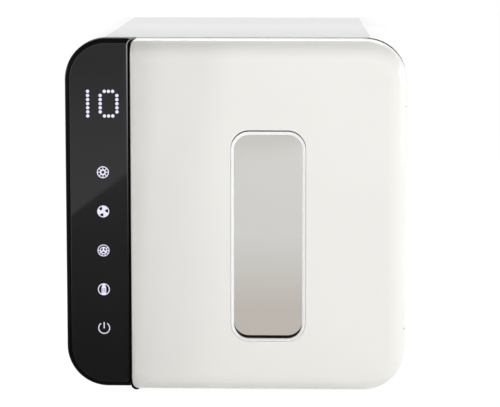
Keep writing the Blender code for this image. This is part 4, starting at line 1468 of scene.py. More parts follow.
    def number(self) -> Piece:
        """The lit number, a dot for each lamp of the matrix.

        Returns:
            The new piece.
        """
        cap, side = "#...###.", "#..#...#"
        rows = [cap] + [side] * 5 + [cap]
        across, down = self.dot_pitch
        top = self.housing.top - self.display_drop + down * (len(rows) - 1) / 2
        seeds = []
        for row, marks in enumerate(rows):
            for column, mark in enumerate(marks):
                if mark == "#":
                    x = self.key_x - self.dot_lead + column * across
                    seeds.append((x, self.mark_y, top - row * down))
        sizes = {"Radius": self.dot_radius, "Thickness": 2 * self.mark_height, "Finish": GLOW.material()}
        return dot_rule().grow("lit_number", sizes, seeds)

    def mark(self, points: Outline) -> Piece:
        """A flat raised mark with the given outline."""
        return loft("mark", [(self.mark_y, points), (self.front + self.mark_height, points)])

    def sector(self, x: float, z: float, inner: float, outer: float, start: float, end: float,
               swirl: float = 0.0) -> Piece:
        """Part of a ring.

        Args:
            x: Middle of the ring.
            z: Middle of the ring.
            inner: Inner radius.
            outer: Outer radius.
            start: First angle, in degrees.
            end: Last angle, in degrees.
            swirl: Degrees by which the outside lags behind the inside.

        Returns:
            The flat mark.
        """
        count = max(4, int((end - start) / ARC_STEP_DEG))
        turns = [math.radians(start + (end - start) * step / count) for step in range(count + 1)]
        lag = math.radians(swirl)
        points = [(x + outer * math.cos(turn - lag), z + outer * math.sin(turn - lag)) for turn in turns]
        points += [(x + inner * math.cos(turn), z + inner * math.sin(turn)) for turn in reversed(turns)]
        return self.mark(points)

    def ring(self, x: float, z: float, outer: float, stroke: float) -> list[Piece]:
        """A whole ring, in two overlapping halves."""
        return [self.sector(x, z, outer - stroke, outer, start, start + HALF_RING_DEG)
                for start in (0.0, 180.0)]

    def bar(self, x: float, z: float, angle: float, start: float, end: float,
            width: float) -> Piece:
        """A straight stroke that points away from a centre.

        Args:
            x: The centre.
            z: The centre.
            angle: Direction, in degrees.
            start: Distance of its near end.
            end: Distance of its far end.
            width: Its width.

        Returns:
            The flat mark.
        """
        turn = math.radians(angle)
        ahead = Vector((math.cos(turn), math.sin(turn)))
        beside = Vector((-ahead.y, ahead.x)) * width / 2
        spots = (ahead * start - beside, ahead * end - beside, ahead * end + beside, ahead * start + beside)
        return self.mark([(x + spot.x, z + spot.y) for spot in spots])

    def united(self, name: str, parts: list[Piece]) -> Piece:
        """Overlapping marks joined into one symbol.

        Args:
            name: Name of the symbol.
            parts: The marks, of which the first takes in the others.

        Returns:
            The new piece.
        """
        for index, part in enumerate(parts):
            part.data.transform(Matrix.Translation((0.0, -index * self.mark_step, 0.0)))
        symbol = parts[0]
        symbol.name = name
        return carve(symbol, parts[1:], "UNION")

    def sun(self, x: float, z: float) -> list[Piece]:
        """A ring with a sun in it: a small ring and eight rays.

        Args:
            x: The symbol's middle.
            z: The symbol's middle.

        Returns:
            The flat marks.
        """
        reach = self.symbol_radius
        parts = self.ring(x, z, reach, self.symbol_stroke)
        parts += self.ring(x, z, reach * 0.5, reach * 0.24)
        parts += [self.bar(x, z, 45.0 * ray, reach * 0.4, reach * 0.9, reach * 0.14) for ray in range(8)]
        return parts

    def fan(self, x: float, z: float) -> list[Piece]:
        """A ring with a three-bladed fan in it.

        Args:
            x: The symbol's middle.
            z: The symbol's middle.

        Returns:
            The flat marks.
        """
        reach = self.symbol_radius
        parts = self.ring(x, z, reach, self.symbol_stroke)
        parts.append(self.sector(x, z, reach * 0.01, reach * 0.36, 0.0, 359.0))
        for blade in range(3):
            start = 172.0 + 120.0 * blade
            parts.append(self.sector(x, z, reach * 0.2, reach * 0.88, start, start + 74.0, 22.0))
        return parts

    def sun_and_fan(self, x: float, z: float) -> list[Piece]:
        """A ring with a sun in it whose middle holds a fan.

        Args:
            x: The symbol's middle.
            z: The symbol's middle.

        Returns:
            The flat marks.
        """
        reach = self.symbol_radius
        parts = self.ring(x, z, reach, self.symbol_stroke * 0.85)
        parts += self.ring(x, z, reach * 0.62, reach * 0.15)
        parts += [self.bar(x, z, 180.0 + 36.0 * ray, reach * 0.55, reach * 0.9, reach * 0.13)
                  for ray in range(7)]
        for blade in range(3):
            parts.append(self.bar(x, z, 90.0 + 120.0 * blade, 0.0, reach * 0.54, reach * 0.26))
        return parts

    def bottle(self, x: float, z: float) -> list[Piece]:
        """A ring with a feeding bottle in it.

        Args:
            x: The symbol's middle.
            z: The symbol's middle.

        Returns:
            The flat marks.
        """
        reach = self.symbol_radius
        parts = self.ring(x, z, reach, self.symbol_stroke)
        for half in (((0.40, 0.22), (0.30, 0.50), (0.22, 0.90)), ((0.34, -0.90), (0.39, -0.55))):
            points = [(x + reach * side, z + reach * rise) for side, rise in half]
            points += [(x - reach * side, z + reach * rise) for side, rise in reversed(half)]
            parts.append(self.mark(points))
        for side, width in ((-0.30, 0.18), (0.0, 0.24), (0.30, 0.18)):
            parts.append(self.bar(x + reach * side, z, 90.0, -reach * 0.6, reach * 0.3, reach * width))
        return parts

    def power(self, x: float, z: float) -> list[Piece]:
        """An open ring with a stroke in the gap.

        Args:
            x: The symbol's middle.
            z: The symbol's middle.

        Returns:
            The flat marks.
        """
        reach = self.symbol_radius
        parts = [self.sector(x, z, reach - self.symbol_stroke, reach, 123.0, 417.0)]
        parts.append(self.bar(x, z, 90.0, -reach * 0.06, reach, self.symbol_stroke * 1.1))
        return parts


@dataclass
class Door:
    """The white door: rolled skin, window ring, a black ring behind it that darkens the gaps as painted
    shade, mirrored pane and back.
    """

    roll: float = 0.018
    free_roll: float = 0.003
    corner: float = 0.0408
    clear: float = 0.00025
    top_clear: float = 0.0004
    free_corner: float = 0.0055
    trim: float = 0.0010
    trim_depth: float = 0.0150
    trim_hang: float = 0.0012
    trim_reach: float = 0.0010
    trim_width: float = 0.0075
    trim_corner: float = 0.0026
    drop: float = 0.0021
    hinge_radius: float = 0.009
    wall: float = 0.0026
    latch_stile: float = 0.014
    hinge_stile: float = 0.026
    mouth_round: float = 0.0006
    mouth_gap: float = 0.00015
    flat_margin: float = 0.0015
    window_radius: float = 0.0175
    ring_face: float = 0.0038
    ring_bevel: float = 0.0024
    ring_fall: float = 0.0012
    ring_round: float = 0.0005
    ring_sink: float = 0.0002
    ring_clear: tuple[float, float, float] = (0.00005, 0.00005, 0.0009)
    ring_shares: tuple[float, float, float] = (0.81, 0.61, 1.12)
    gasket_sink: float = 0.0016
    ledge: float = 0.002
    pane_lift: float = 0.0024
    notch_half: float = 0.00342
    notch_side: float = 0.0091
    notch_depth: float = 0.0180
    back_edge: float = 0.0005
    face: Face = field(default_factory=lambda: Face.of("door_shell"))
    window_moves: tuple[float, float, float, float] = (0.0004, -0.0005, -0.0015, -0.0004)

    def build(self) -> None:
        """Build and dress the door."""
        ring = Face.of("window_bezel")
        moves = zip((ring.left, ring.right, ring.bottom, ring.top), self.window_moves)
        self.window = Face(*[side + move for side, move in moves])
        self.front, self.rear = depths("door_shell")
        self.ring_rear = depths("window_bezel")[1]
        self.pane_rear = depths("window_glass")[1]
        self.back_front = depths("door_liner")[0]
        fit(self.shell(), Body.DOOR, DOOR_WHITE, "door_shell")
        fit(self.free_trim(), Body.DOOR, SHADE_AND_TRIM_BLACK)
        fit(self.ring(), Body.DOOR, RING_WHITE, "window_bezel")
        fit(self.gasket(), Body.DOOR, SHADE_AND_TRIM_BLACK)
        fit(self.mirror(), Body.DOOR, PANE_MIRROR, "window_glass")
        fit(self.back(), Body.DOOR, WHITE_SATIN, "door_liner")
        dress(ZINC, "door_magnet", *HINGE_PINS)

    def outline(self, y: float, inset: float = 0.0) -> Outline:
        """The door's section at one depth.

        Args:
            y: The depth.
            inset: Further distance inwards.

        Returns:
            Points in x and z.
        """
        roll = drawn_in(y - self.front, self.roll)
        free = drawn_in(y - self.front, self.free_roll)
        hinge = drawn_in(self.rear - y, self.hinge_radius)
        face = Face(self.face.left + self.trim + free, self.face.right - self.clear - max(roll, hinge),
                    self.face.bottom - self.drop + roll, self.face.top - self.top_clear - roll)
        return face.grown(-inset).rounded(self.free_corner, self.corner - roll - inset)

    def free_trim(self) -> Piece:
        """The black trim behind the skin's free edge, which shows beside it and at its corners.

        Returns:
            The new piece.
        """
        top = self.face.top - self.top_clear - drawn_in(self.trim_depth, self.roll) - HAIR / 3
        side = Face(self.face.left - self.trim_reach, self.face.left + self.trim_width,
                    self.face.bottom - self.drop - self.trim_hang, top)
        outline = side.rounded(self.free_corner, self.trim_corner)
        levels = [(y, outline) for y in (self.front + self.trim_depth, self.rear - HAIR)]
        return loft("door_free_trim", levels)

    def sight(self, inset: float) -> Face:
        """The window's rectangle, drawn in from the ring's outer edge by each side's share.

        Args:
            inset: Distance inwards, which below 0 moves all sides out alike.

        Returns:
            The rectangle.
        """
        if inset <= 0.0:
            return self.window.grown(-inset)
        side, bottom, top = (inset * share for share in self.ring_shares)
        return self.window.drawn(side, side, bottom, top)

    def opening(self, inset: float) -> Outline:
        """The window's outline, drawn in from the ring's outer edge."""
        return self.sight(inset).rounded(self.window_radius - inset * self.ring_shares[0])

    def recess(self, inset: float) -> Outline:
        """The outline of the door's back plate, drawn in from its seat.

        Args:
            inset: Distance inwards.

        Returns:
            Points in x and z.
        """
        face = self.face.drawn(self.latch_stile, self.hinge_stile, self.wall, self.wall)
        return face.grown(-inset).rounded(self.free_corner, self.corner - self.wall)

    def shell(self) -> Piece:
        """The outer skin, with the window's seat, the hinge notches and the magnet's seat.

        Returns:
            The new piece.
        """
        seat_y = self.pane_rear + HAIR
        levels = [(seat_y, self.opening(-self.mouth_gap))]
        for inset, back in reversed(edge_round(self.mouth_round)):
            levels.append((self.front + back, self.opening(-self.mouth_gap - inset)))
        levels.append((self.front, self.opening(-self.mouth_gap - self.mouth_round - self.flat_margin)))
        levels.append((self.front, self.outline(self.front, self.flat_margin)))
        turns = quarter(ROLL_STEPS)
        front_levels = [self.front + self.roll * (1 - math.cos(turn)) for turn in turns]
        free_levels = [self.front + self.free_roll * (1 - math.cos(turn)) for turn in turns[1::2]]
        rear_levels = [self.rear - self.hinge_radius * (1 - math.cos(turn)) for turn in turns]
        for y in sorted(front_levels + free_levels + rear_levels):
            levels.append((y, self.outline(y)))
        floor_y = self.back_front - HAIR
        levels.append((self.rear, self.recess(0.0)))
        levels.append((floor_y, self.recess(0.0)))
        levels.append((floor_y, self.opening(self.ring_face + self.ledge)))
        levels.append((seat_y, self.opening(self.ring_face + self.ledge)))
        return carve(loft("door_skin", levels, closed=True), self.sockets())

    def sockets(self) -> list[Piece]:
        """What is cut out of the skin's back for the hinges and the magnet.

        Returns:
            The cutting blocks.
        """
        hinge_x = self.face.right - self.hinge_radius
        tools = []
        for pin in HINGE_PINS:
            z = Face.of(pin).z
            low = (hinge_x - self.notch_side, self.rear - self.notch_depth, z - self.notch_half)
            high = (self.face.right + OVERCUT, self.rear + OVERCUT, z + self.notch_half)
            tools.append(block(f"{pin}_notch", low, high))
        low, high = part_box("door_magnet")
        near, far = Vector((HAIR, HAIR, HAIR)), Vector((HAIR, OVERCUT, HAIR))
        tools.append(block("magnet_seat", low - near, high + far))
        return tools

    def ring(self) -> Piece:
        """The bevelled ring round the pane, a hair behind the door's face.

        Returns:
            The new piece.
        """
        side, bottom, top = self.ring_clear
        outer = self.window.drawn(side, side, bottom, top)
        radius = self.window_radius - side
        front = self.front + self.ring_sink
        levels = [(self.ring_rear, outer.rounded(radius))]
        for inset, back in reversed(edge_round(self.ring_round)):
            levels.append((front + back, outer.grown(-inset).rounded(radius - inset)))
        land = self.ring_face - self.ring_bevel
        soft = self.ring_round * 0.6
        levels += [
            (front, self.opening(land - soft)),
            (front + soft * 0.3, self.opening(land + soft * 0.3)),
            (front + self.ring_fall - soft * 0.3, self.opening(self.ring_face - soft * 0.6)),
            (front + self.ring_fall + soft, self.opening(self.ring_face)),
            (self.ring_rear, self.opening(self.ring_face)),
        ]
        return loft("window_ring", levels, closed=True)

    def gasket(self) -> Piece:
        """The black ring behind the window ring, which shows in the gaps round it and darkens them as painted
        shade.

        Returns:
            The new piece.
        """
        front = self.front + self.gasket_sink
        inner_y = self.ring_rear + HAIR / 2
        land = self.ring_face - self.ring_bevel * 0.8
        reach = self.ring_face + self.ledge * 3
        levels = [
            (front, self.opening(0.0)),
            (self.pane_rear, self.opening(0.0)),
            (self.pane_rear, self.opening(reach)),
            (inner_y, self.opening(reach)),
            (inner_y, self.opening(land)),
            (front, self.opening(land)),
        ]
        return loft("window_gasket", levels, closed=True)

    def mirror(self) -> Piece:
        """The mirrored pane, whose foot stands a little clear of the ring.

        Returns:
            The new piece.
        """
        sight = self.sight(self.ring_face)
        grown = self.ledge / 2
        face = sight.drawn(-grown, -grown, self.pane_lift, -grown)
        corner = self.window_radius - self.ring_face * self.ring_shares[0] + grown
        return plate("window_pane", face, self.ring_rear + HAIR / 3, self.pane_rear + HAIR / 2, corner, HAIR)

    def back(self) -> Piece:
        """The white plate that closes the door's back, pierced behind the pane.

        Returns:
            The new piece.
        """
        sight = self.ring_face + self.ledge
        edge = self.back_edge
        rounds = edge_round(edge)
        levels = [(self.back_front, self.opening(sight)), (self.back_front, self.recess(HAIR))]
        levels += [(self.rear - back, self.recess(HAIR + inset)) for inset, back in reversed(rounds)]
        levels.append((self.rear, self.recess(HAIR + 3 * edge)))
        levels.append((self.rear, self.opening(sight - 3 * edge)))
        levels += [(self.rear - back, self.opening(sight - inset)) for inset, back in rounds]
        return loft("door_back", levels, closed=True)


@dataclass
class Casing:
    """The pale wrap, the dark plate behind the door, the back plate, its screws and the feet."""

    corner: float = 0.040
    wall: float = 0.0025
    wrap_edge: float = 0.0012
    band_drop: float = 0.0003
    band_width: float = 0.003
    band_rise: float = 0.0013
    mouth_corner: float = 0.016
    mouth_round: float = 0.0015
    plate_edge: float = 0.0006
    groove_sides: Pair = (0.0027, 0.0083)
    groove_depth: float = 0.0033
    cable_hole: Pair = (0.024, 0.060)
    bracket_room: float = 0.0003
    arm_half: float = 0.004
    arm_height: float = 0.006
    knuckle_radius: float = 0.0087
    knuckle_half: float = 0.0033
    vent_count: int = 9
    vent_size: Pair = (0.004, 0.030)
    vent_pitch: float = 0.009
    vent_drop: float = 0.030
    screw_radius: float = 0.0036
    screw_height: float = 0.0017
    cross_width: float = 0.0008
    cross_depth: float = 0.0009
    foot_round: float = 0.0012
    face: Face = field(default_factory=lambda: Face.of("housing_shell"))
    mouth: Face = field(default_factory=lambda: Face.of("chamber_liner").grown(-CHAMBER_FLANGE))

    def build(self) -> None:
        """Build and dress the casing."""
        self.front, self.rear = depths("housing_shell")
        self.plate_rear = depths("front_frame")[1]
        self.back_front = depths("rear_cover")[0]
        fit(self.wrap(), Body.CABINET, CASING_PALE, "housing_shell")
        fit(self.parting_band(), Body.CABINET, SHADE_AND_TRIM_BLACK)
        fit(self.mouth_plate(), Body.CABINET, DARK_GRAIN, "front_frame")
        fit(self.back_plate(), Body.CABINET, WHITE_SATIN, "rear_cover")
        screws, feet = numbered("rear_screw"), numbered("foot")
        fit(self.screws(screws), Body.CABINET, ZINC, *screws)
        fit(self.feet(feet), Body.CABINET, FOOT_BLACK, *feet)
        dress(ZINC, *numbered("corner_post"))
        for pin in HINGE_PINS:
            fit(self.knuckle(pin), Body.CABINET, DOOR_WHITE)
        dress(ZINC, "hinge_bracket_upper", "hinge_bracket_lower", "catch_plate")
        dress(DARK_GRAIN, "door_sensor", "power_supply")

    def wrap(self) -> Piece:
        """The wall that runs round the cabinet, open at front and back.

        Returns:
            The new piece.
        """
        sizes = {
            "Width": self.face.width - self.wall,
            "Height": self.face.height - self.wall,
            "Corner Radius": self.corner - self.wall / 2,
            "Corner Steps": 2 * CORNER_STEPS,
            "Wall": self.wall,
            "Depth": self.rear - self.front,
            "Edge Radius": self.wrap_edge,
            "Edge Steps": EDGE_STEPS,
            "Turn": STANDING,
            "Place": (self.face.x, (self.front + self.rear) / 2, self.face.z),
            "Finish": CASING_PALE.material(),
        }
        return frame_rule().grow("casing_wrap", sizes)

    def parting_band(self) -> Piece:
        """The black band in the gap between the wrap and the door, which darkens the gap as painted shade.

        Returns:
            The new piece.
        """
        outer = self.face.grown(-self.band_drop).rounded(self.corner - self.band_drop)
        gone = self.band_drop + self.band_width
        inner = self.face.grown(-gone).rounded(self.corner - gone)
        front, rear = self.front - self.band_rise, self.front - HAIR / 10
        levels = [(front, inner), (front, outer), (rear, outer), (rear, inner)]
        return loft("parting_band", levels, closed=True)

    def inside(self, inset: float = 0.0) -> Outline:
        """The outline that fits inside the wrap, drawn in."""
        gone = self.wall + HAIR + inset
        return self.face.grown(-gone).rounded(self.corner - gone)

    def mouth_outline(self, out: float) -> Outline:
        """The chamber mouth's outline, moved outwards."""
        return self.mouth.grown(out).rounded(self.mouth_corner + out)

    def mouth_plate(self) -> Piece:
        """The plate behind the door, with the chamber's mouth and the seal's groove.

        Returns:
            The new piece.
        """
        near, far = self.groove_sides
        floor_y = self.front + self.groove_depth
        levels = [(self.front + back, self.mouth_outline(inset))
                  for inset, back in reversed(edge_round(self.mouth_round))]
        levels += [
            (self.front, self.mouth_outline(near)),
            (floor_y, self.mouth_outline(near)),
            (floor_y, self.mouth_outline(far)),
            (self.front, self.mouth_outline(far)),
        ]
        levels += [(self.front + back, self.inside(inset)) for inset, back in edge_round(self.plate_edge)]
        levels += [(self.plate_rear, self.inside()), (self.plate_rear, self.mouth_outline(0.0))]
        return carve(loft("mouth_plate", levels, closed=True), self.mouth_sockets())

    def mouth_sockets(self) -> list[Piece]:
        """What is cut out of the mouth plate for the hinges, the catch and the strip's cable.

        Returns:
            The cutting blocks.
        """
        tools = []
        for pin in HINGE_PINS:
            spot = Face.of(pin)
            slot = Face.about(spot.x, spot.z, 2 * self.arm_half, self.arm_height).grown(self.bracket_room)
            tools.append(self.cutter(f"{pin}_slot", slot, self.front, self.plate_rear))
        catch, catch_rear = Face.of("catch_plate").grown(HAIR), depths("catch_plate")[1]
        tools.append(self.cutter("catch_seat", catch, self.front, catch_rear - OVERCUT))
        display = Face.of("led_matrix")
        hole = Face.about(display.x, display.z, *self.cable_hole)
        tools.append(self.cutter("cable_hole", hole, self.front, self.plate_rear))
        return tools

    def cutter(self, name: str, face: Face, front: float, rear: float) -> Piece:
        """A block that cuts through from front to rear, with room to spare at both ends."""
        return block(name, (face.left, front - OVERCUT, face.bottom), (face.right, rear + OVERCUT, face.top))

    def back_plate(self) -> Piece:
        """The back plate, with its vents, the filter's port and the mains socket's port.

        Returns:
            The new piece.
        """
        levels = [(self.back_front, self.inside())]
        levels += [(self.rear - back, self.inside(inset))
                   for inset, back in reversed(edge_round(self.plate_edge))]
        piece = loft("back_plate", levels)
        chamber = Face.of("chamber_liner")
        width, height = self.vent_size
        tools = []
        for index in range(self.vent_count):
            x = chamber.x + (index - (self.vent_count - 1) / 2) * self.vent_pitch
            slot = Face.about(x, self.face.top - self.vent_drop - height / 2, width, height)
            outline = slot.rounded(width * SLOT_ROUND)
            levels = [(self.back_front - OVERCUT, outline), (self.rear + OVERCUT, outline)]
            tools.append(loft(f"vent_{index}", levels))
        port = Face.of("air_filter").grown(HAIR)
        tools.append(self.cutter("filter_port", port, self.back_front, self.rear))
        inlet = Face.of("mains_inlet").grown(HAIR - SOCKET_FLANGE)
        tools.append(self.cutter("inlet_port", inlet, self.back_front, self.rear))
        return carve(piece, tools)

    def knuckle(self, pin: str) -> Piece:
        """The white barrel about a hinge pin, which fills the door's notch as it turns.

        Args:
            pin: The CAD pin.

        Returns:
            The new piece.
        """
        low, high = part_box(pin)
        middle = (low + high) / 2
        profile = barrel(self.knuckle_radius, -self.knuckle_half, self.knuckle_half, self.plate_edge)
        return turned(pin.replace("pin", "knuckle"), profile, middle, Axis.UPRIGHT)

    def screws(self, nodes: Sequence[str]) -> Piece:
        """Domed heads with a cross recess, one where each CAD screw is.

        Args:
            nodes: The CAD screws.

        Returns:
            The new piece.
        """
        reach, rise = self.screw_radius, self.screw_height
        head = turned("screw_head", scaled(SCREW_DOME, reach, rise), (0.0, 0.0, 0.0), Axis.DEEP)
        half, arm = self.cross_width / 2, reach * 0.58
        tools = []
        for wide, tall in ((arm, half), (half, arm)):
            low = (-wide, rise - self.cross_depth, -tall)
            tools.append(block("cross", low, (wide, rise + OVERCUT, tall)))
        carve(head, tools)
        seeds = [(Face.of(node).x, self.rear + HAIR / 3, Face.of(node).z) for node in nodes]
        return repeat_rule().grow("back_screws", {"Shape": head, "Finish": ZINC.material()}, seeds)

    def feet(self, nodes: Sequence[str]) -> Piece:
        """Tapered pads with a round lower edge and a hollow in the sole.

        Args:
            nodes: The CAD feet.

        Returns:
            The new piece.
        """
        low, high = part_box(nodes[0])
        wide, tall = (high.x - low.x) / 2, high.z - low.z
        narrow = wide - tall * 0.3
        profile = [(narrow * 0.02, tall * 0.12), (narrow * 0.55, tall * 0.12), (narrow * 0.6, 0.0)]
        for inset, back in edge_round(self.foot_round):
            profile.append((narrow - inset, back))
        profile += [(wide, tall - HAIR), (wide - HAIR, tall), (wide * 0.02, tall)]
        pad = turned("foot_pad", profile, (0.0, 0.0, 0.0), Axis.UPRIGHT)
        seeds = []
        for node in nodes:
            low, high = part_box(node)
            seeds.append(((low.x + high.x) / 2, (low.y + high.y) / 2, low.z))
        return repeat_rule().grow("feet_pads", {"Shape": pad, "Finish": FOOT_BLACK.material()}, seeds)


@dataclass
class Chamber:
    """The bright chamber with its seal, rails and lamp, and the racks and tray that slide in it."""

    flange: float = CHAMBER_FLANGE
    wall: float = 0.0015
    corner: float = 0.016
    back_round: float = 0.004
    lip_round: float = 0.0006
    slot_count: int = 6
    slot_size: Pair = (0.060, 0.0045)
    slot_pitch: float = 0.010
    seal_reach: float = 0.0055
    seal_wall: float = 0.005
    seal_round: float = 0.0016
    rail_edge: float = 0.0008
    cap_length: float = 0.0075
    cap_round: float = 0.0008
    tube_radius: float = 0.0073
    neck_share: float = 0.8
    holder_edge: float = 0.0015
    rack_border: float = 0.012
    rack_corner: float = 0.011
    rack_round: float = 0.0012
    bar_count: int = 8
    bar_width: float = 0.006
    bar_thin: float = 0.0032
    tray_corner: float = 0.008
    tray_wall: float = 0.002
    tray_draft: float = 0.0012

    def build(self) -> None:
        """Build and dress the chamber and what stands in it."""
        self.front, self.rear = depths("chamber_liner")
        self.face = Face.of("chamber_liner").grown(-self.flange)
        fit(self.walls(), Body.CABINET, LINER_STEEL, "chamber_liner")
        fit(self.seal(), Body.CABINET, SOFT_SEAL, "door_seal")
        rails = ("rack_rail_left", "rack_rail_right")
        fit(self.rails(rails), Body.CABINET, WHITE_SATIN, *rails)
        holders = ("lamp_holder_left", "lamp_holder_right")
        fit(self.tube(), Body.CABINET, LAMP_TUBE, "uv_lamp")
        fit(self.caps(), Body.CABINET, ZINC)
        fit(self.holders(holders), Body.CABINET, WHITE_SATIN, *holders)
        fit(self.grid("rack_grid", "upper_rack"), Body.RACK, WHITE_SATIN, "upper_rack")
        fit(self.grid("lower_grid", "lower_rack"), Body.TRAY, WHITE_SATIN, "lower_rack")
        fit(self.pan(), Body.TRAY, WHITE_SATIN, "drip_tray")

    def section(self, out: float) -> Outline:
        """The chamber's outline, moved outwards."""
        return self.face.grown(out).rounded(self.corner + out)

    def walls(self) -> Piece:
        """The chamber's walls in one pressing: round into the back, with a flange and air slots.

        Returns:
            The new piece.
        """
        back_y = self.rear - self.wall
        rounds = edge_round(self.back_round)
        levels = [(back_y - back, self.section(-inset)) for inset, back in rounds]
        levels += [(self.front + back, self.section(inset))
                   for inset, back in reversed(edge_round(self.lip_round))]
        levels += [
            (self.front, self.section(self.flange)),
            (self.front + self.wall, self.section(self.flange)),
            (self.front + self.wall, self.section(self.wall)),
        ]
        levels += [(self.rear - back, self.section(self.wall - inset)) for inset, back in reversed(rounds)]
        piece = loft("chamber_walls", levels)
        width, height = self.slot_size
        tools = []
        for index in range(self.slot_count):
            z = self.face.z + (index - (self.slot_count - 1) / 2) * self.slot_pitch
            slot = Face.about(self.face.x, z, width, height).rounded(height * SLOT_ROUND)
            tools.append(loft(f"air_slot_{index}", [(back_y - OVERCUT, slot), (self.rear + OVERCUT, slot)]))
        return carve(piece, tools)

    def seal(self) -> Piece:
        """The soft ring round the chamber's mouth.

        Returns:
            The new piece.
        """
        front, rear = depths("door_seal")
        sizes = {
            "Width": self.face.width + 2 * self.seal_reach,
            "Height": self.face.height + 2 * self.seal_reach,
            "Corner Radius": self.corner + self.seal_reach,
            "Corner Steps": CORNER_STEPS,
            "Wall": self.seal_wall,
            "Depth": rear - front,
            "Edge Radius": self.seal_round,
            "Edge Steps": EDGE_STEPS,
            "Turn": STANDING,
            "Place": (self.face.x, (front + rear) / 2, self.face.z),
            "Finish": SOFT_SEAL.material(),
        }
        return frame_rule().grow("mouth_seal", sizes)

    def rails(self, nodes: Sequence[str]) -> Piece:
        """The two rails that carry the upper rack, with soft edges."""
        return merged("rack_rails", [block(node, *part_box(node), self.rail_edge) for node in nodes])

    def lamp_axis(self) -> tuple[Vector, float, float]:
        """Where the lamp lies.

        Returns:
            The left end of its axis, its length and its radius.
        """
        low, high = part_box("uv_lamp")
        middle = (low + high) / 2
        return Vector((low.x, middle.y, middle.z)), high.x - low.x, (high.z - low.z) / 2

    def shown(self) -> Pair:
        """Where the lamp comes out of its holders, as distances along its axis."""
        start = self.lamp_axis()[0].x
        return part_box("lamp_holder_left")[1].x - start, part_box("lamp_holder_right")[0].x - start

    def tube(self) -> Piece:
        """The lamp's glass, narrower where it enters its caps.

        Returns:
            The new piece.
        """
        place, _, radius = self.lamp_axis()
        start, end = self.shown()
        reach = self.tube_radius
        first, last = start + self.cap_length / 2, end - self.cap_length / 2
        neck, tip = reach * self.neck_share, radius * AXIS_SHARE
        profile = [(tip, first), (neck, first), (reach - self.cap_round, first + self.cap_length)]
        profile += [(reach, first + self.cap_length), (reach, last - self.cap_length)]
        profile += [(neck, last), (tip, last)]
        return turned("lamp_tube", profile, place, Axis.ACROSS)

    def caps(self) -> Piece:
        """The metal caps on both ends of the lamp.

        Returns:
            The new piece.
        """
        place, length, radius = self.lamp_axis()
        start, end = self.shown()
        parts = []
        for first, last in ((0.0, start + self.cap_length), (end - self.cap_length, length)):
            profile = barrel(radius, first, last, self.cap_round)
            parts.append(turned("lamp_cap", profile, place, Axis.ACROSS))
        return merged("lamp_caps", parts)

    def holders(self, nodes: Sequence[str]) -> Piece:
        """The two blocks that hold the lamp, bored for its caps.

        Args:
            nodes: The CAD holders.

        Returns:
            The new piece.
        """
        place, length, radius = self.lamp_axis()
        parts = []
        for node in nodes:
            part = block(node, *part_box(node), self.holder_edge)
            reach = radius + HAIR / 2
            bore = [(reach, -HAIR), (reach, length + HAIR)]
            parts.append(carve(part, [turned("lamp_bore", bore, place, Axis.ACROSS)]))
        return merged("lamp_holders", parts)

    def grid(self, name: str, node: str) -> Piece:
        """A rack: a lying frame and a row of bars from front to back.

        Args:
            name: Name of the piece.
            node: The CAD rack.

        Returns:
            The new piece.
        """
        low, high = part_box(node)
        middle, size = (low + high) / 2, high - low
        border = self.rack_border
        frame_sizes = {
            "Width": size.x - border,
            "Height": size.y - border,
            "Corner Radius": self.rack_corner,
            "Corner Steps": CORNER_STEPS,
            "Wall": border,
            "Depth": size.z,
            "Edge Radius": self.rack_round,
            "Edge Steps": EDGE_STEPS,
            "Turn": LYING,
            "Place": tuple(middle),
            "Finish": WHITE_SATIN.material(),
        }
        pitch = (size.x - 2 * border + self.bar_width) / (self.bar_count + 1)
        first = low.x + border - self.bar_width / 2 + pitch
        bar_sizes = {
            "Length": size.y - border,
            "Width": self.bar_width,
            "Thickness": self.bar_thin,
            "Edge Radius": self.rack_round,
            "Count": self.bar_count,
            "First": (first, middle.y, middle.z),
            "Step": (pitch, 0.0, 0.0),
            "Turn": LYING,
            "Finish": WHITE_SATIN.material(),
        }
        rim = frame_rule().grow(f"{name}_rim", frame_sizes)
        bars = row_rule().grow(f"{name}_bars", bar_sizes)
        return merged(name, [rim, bars])

    def pan(self) -> Piece:
        """The drip tray: a shallow pan with sloping sides.

        Returns:
            The new piece.
        """
        low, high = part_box("drip_tray")
        rim = Face(low.x, high.x, low.y, high.y)
        thick, draft, corner = self.tray_wall, self.tray_draft, self.tray_corner
        inner_corner = corner - thick
        levels = [
            (low.z, rim.grown(-draft - thick).rounded(corner)),
            (low.z + thick * 0.4, rim.grown(-draft).rounded(corner)),
            (high.z - HAIR, rim.rounded(corner)),
            (high.z, rim.grown(-HAIR).rounded(corner)),
            (high.z, rim.grown(HAIR - thick).rounded(inner_corner)),
            (high.z - HAIR, rim.grown(-thick).rounded(inner_corner)),
            (low.z + 2 * thick, rim.grown(-draft - thick).rounded(inner_corner)),
            (low.z + thick, rim.grown(-draft - 2 * thick).rounded(inner_corner)),
        ]
        return loft("tray_pan", levels, axis=Axis.UPRIGHT)


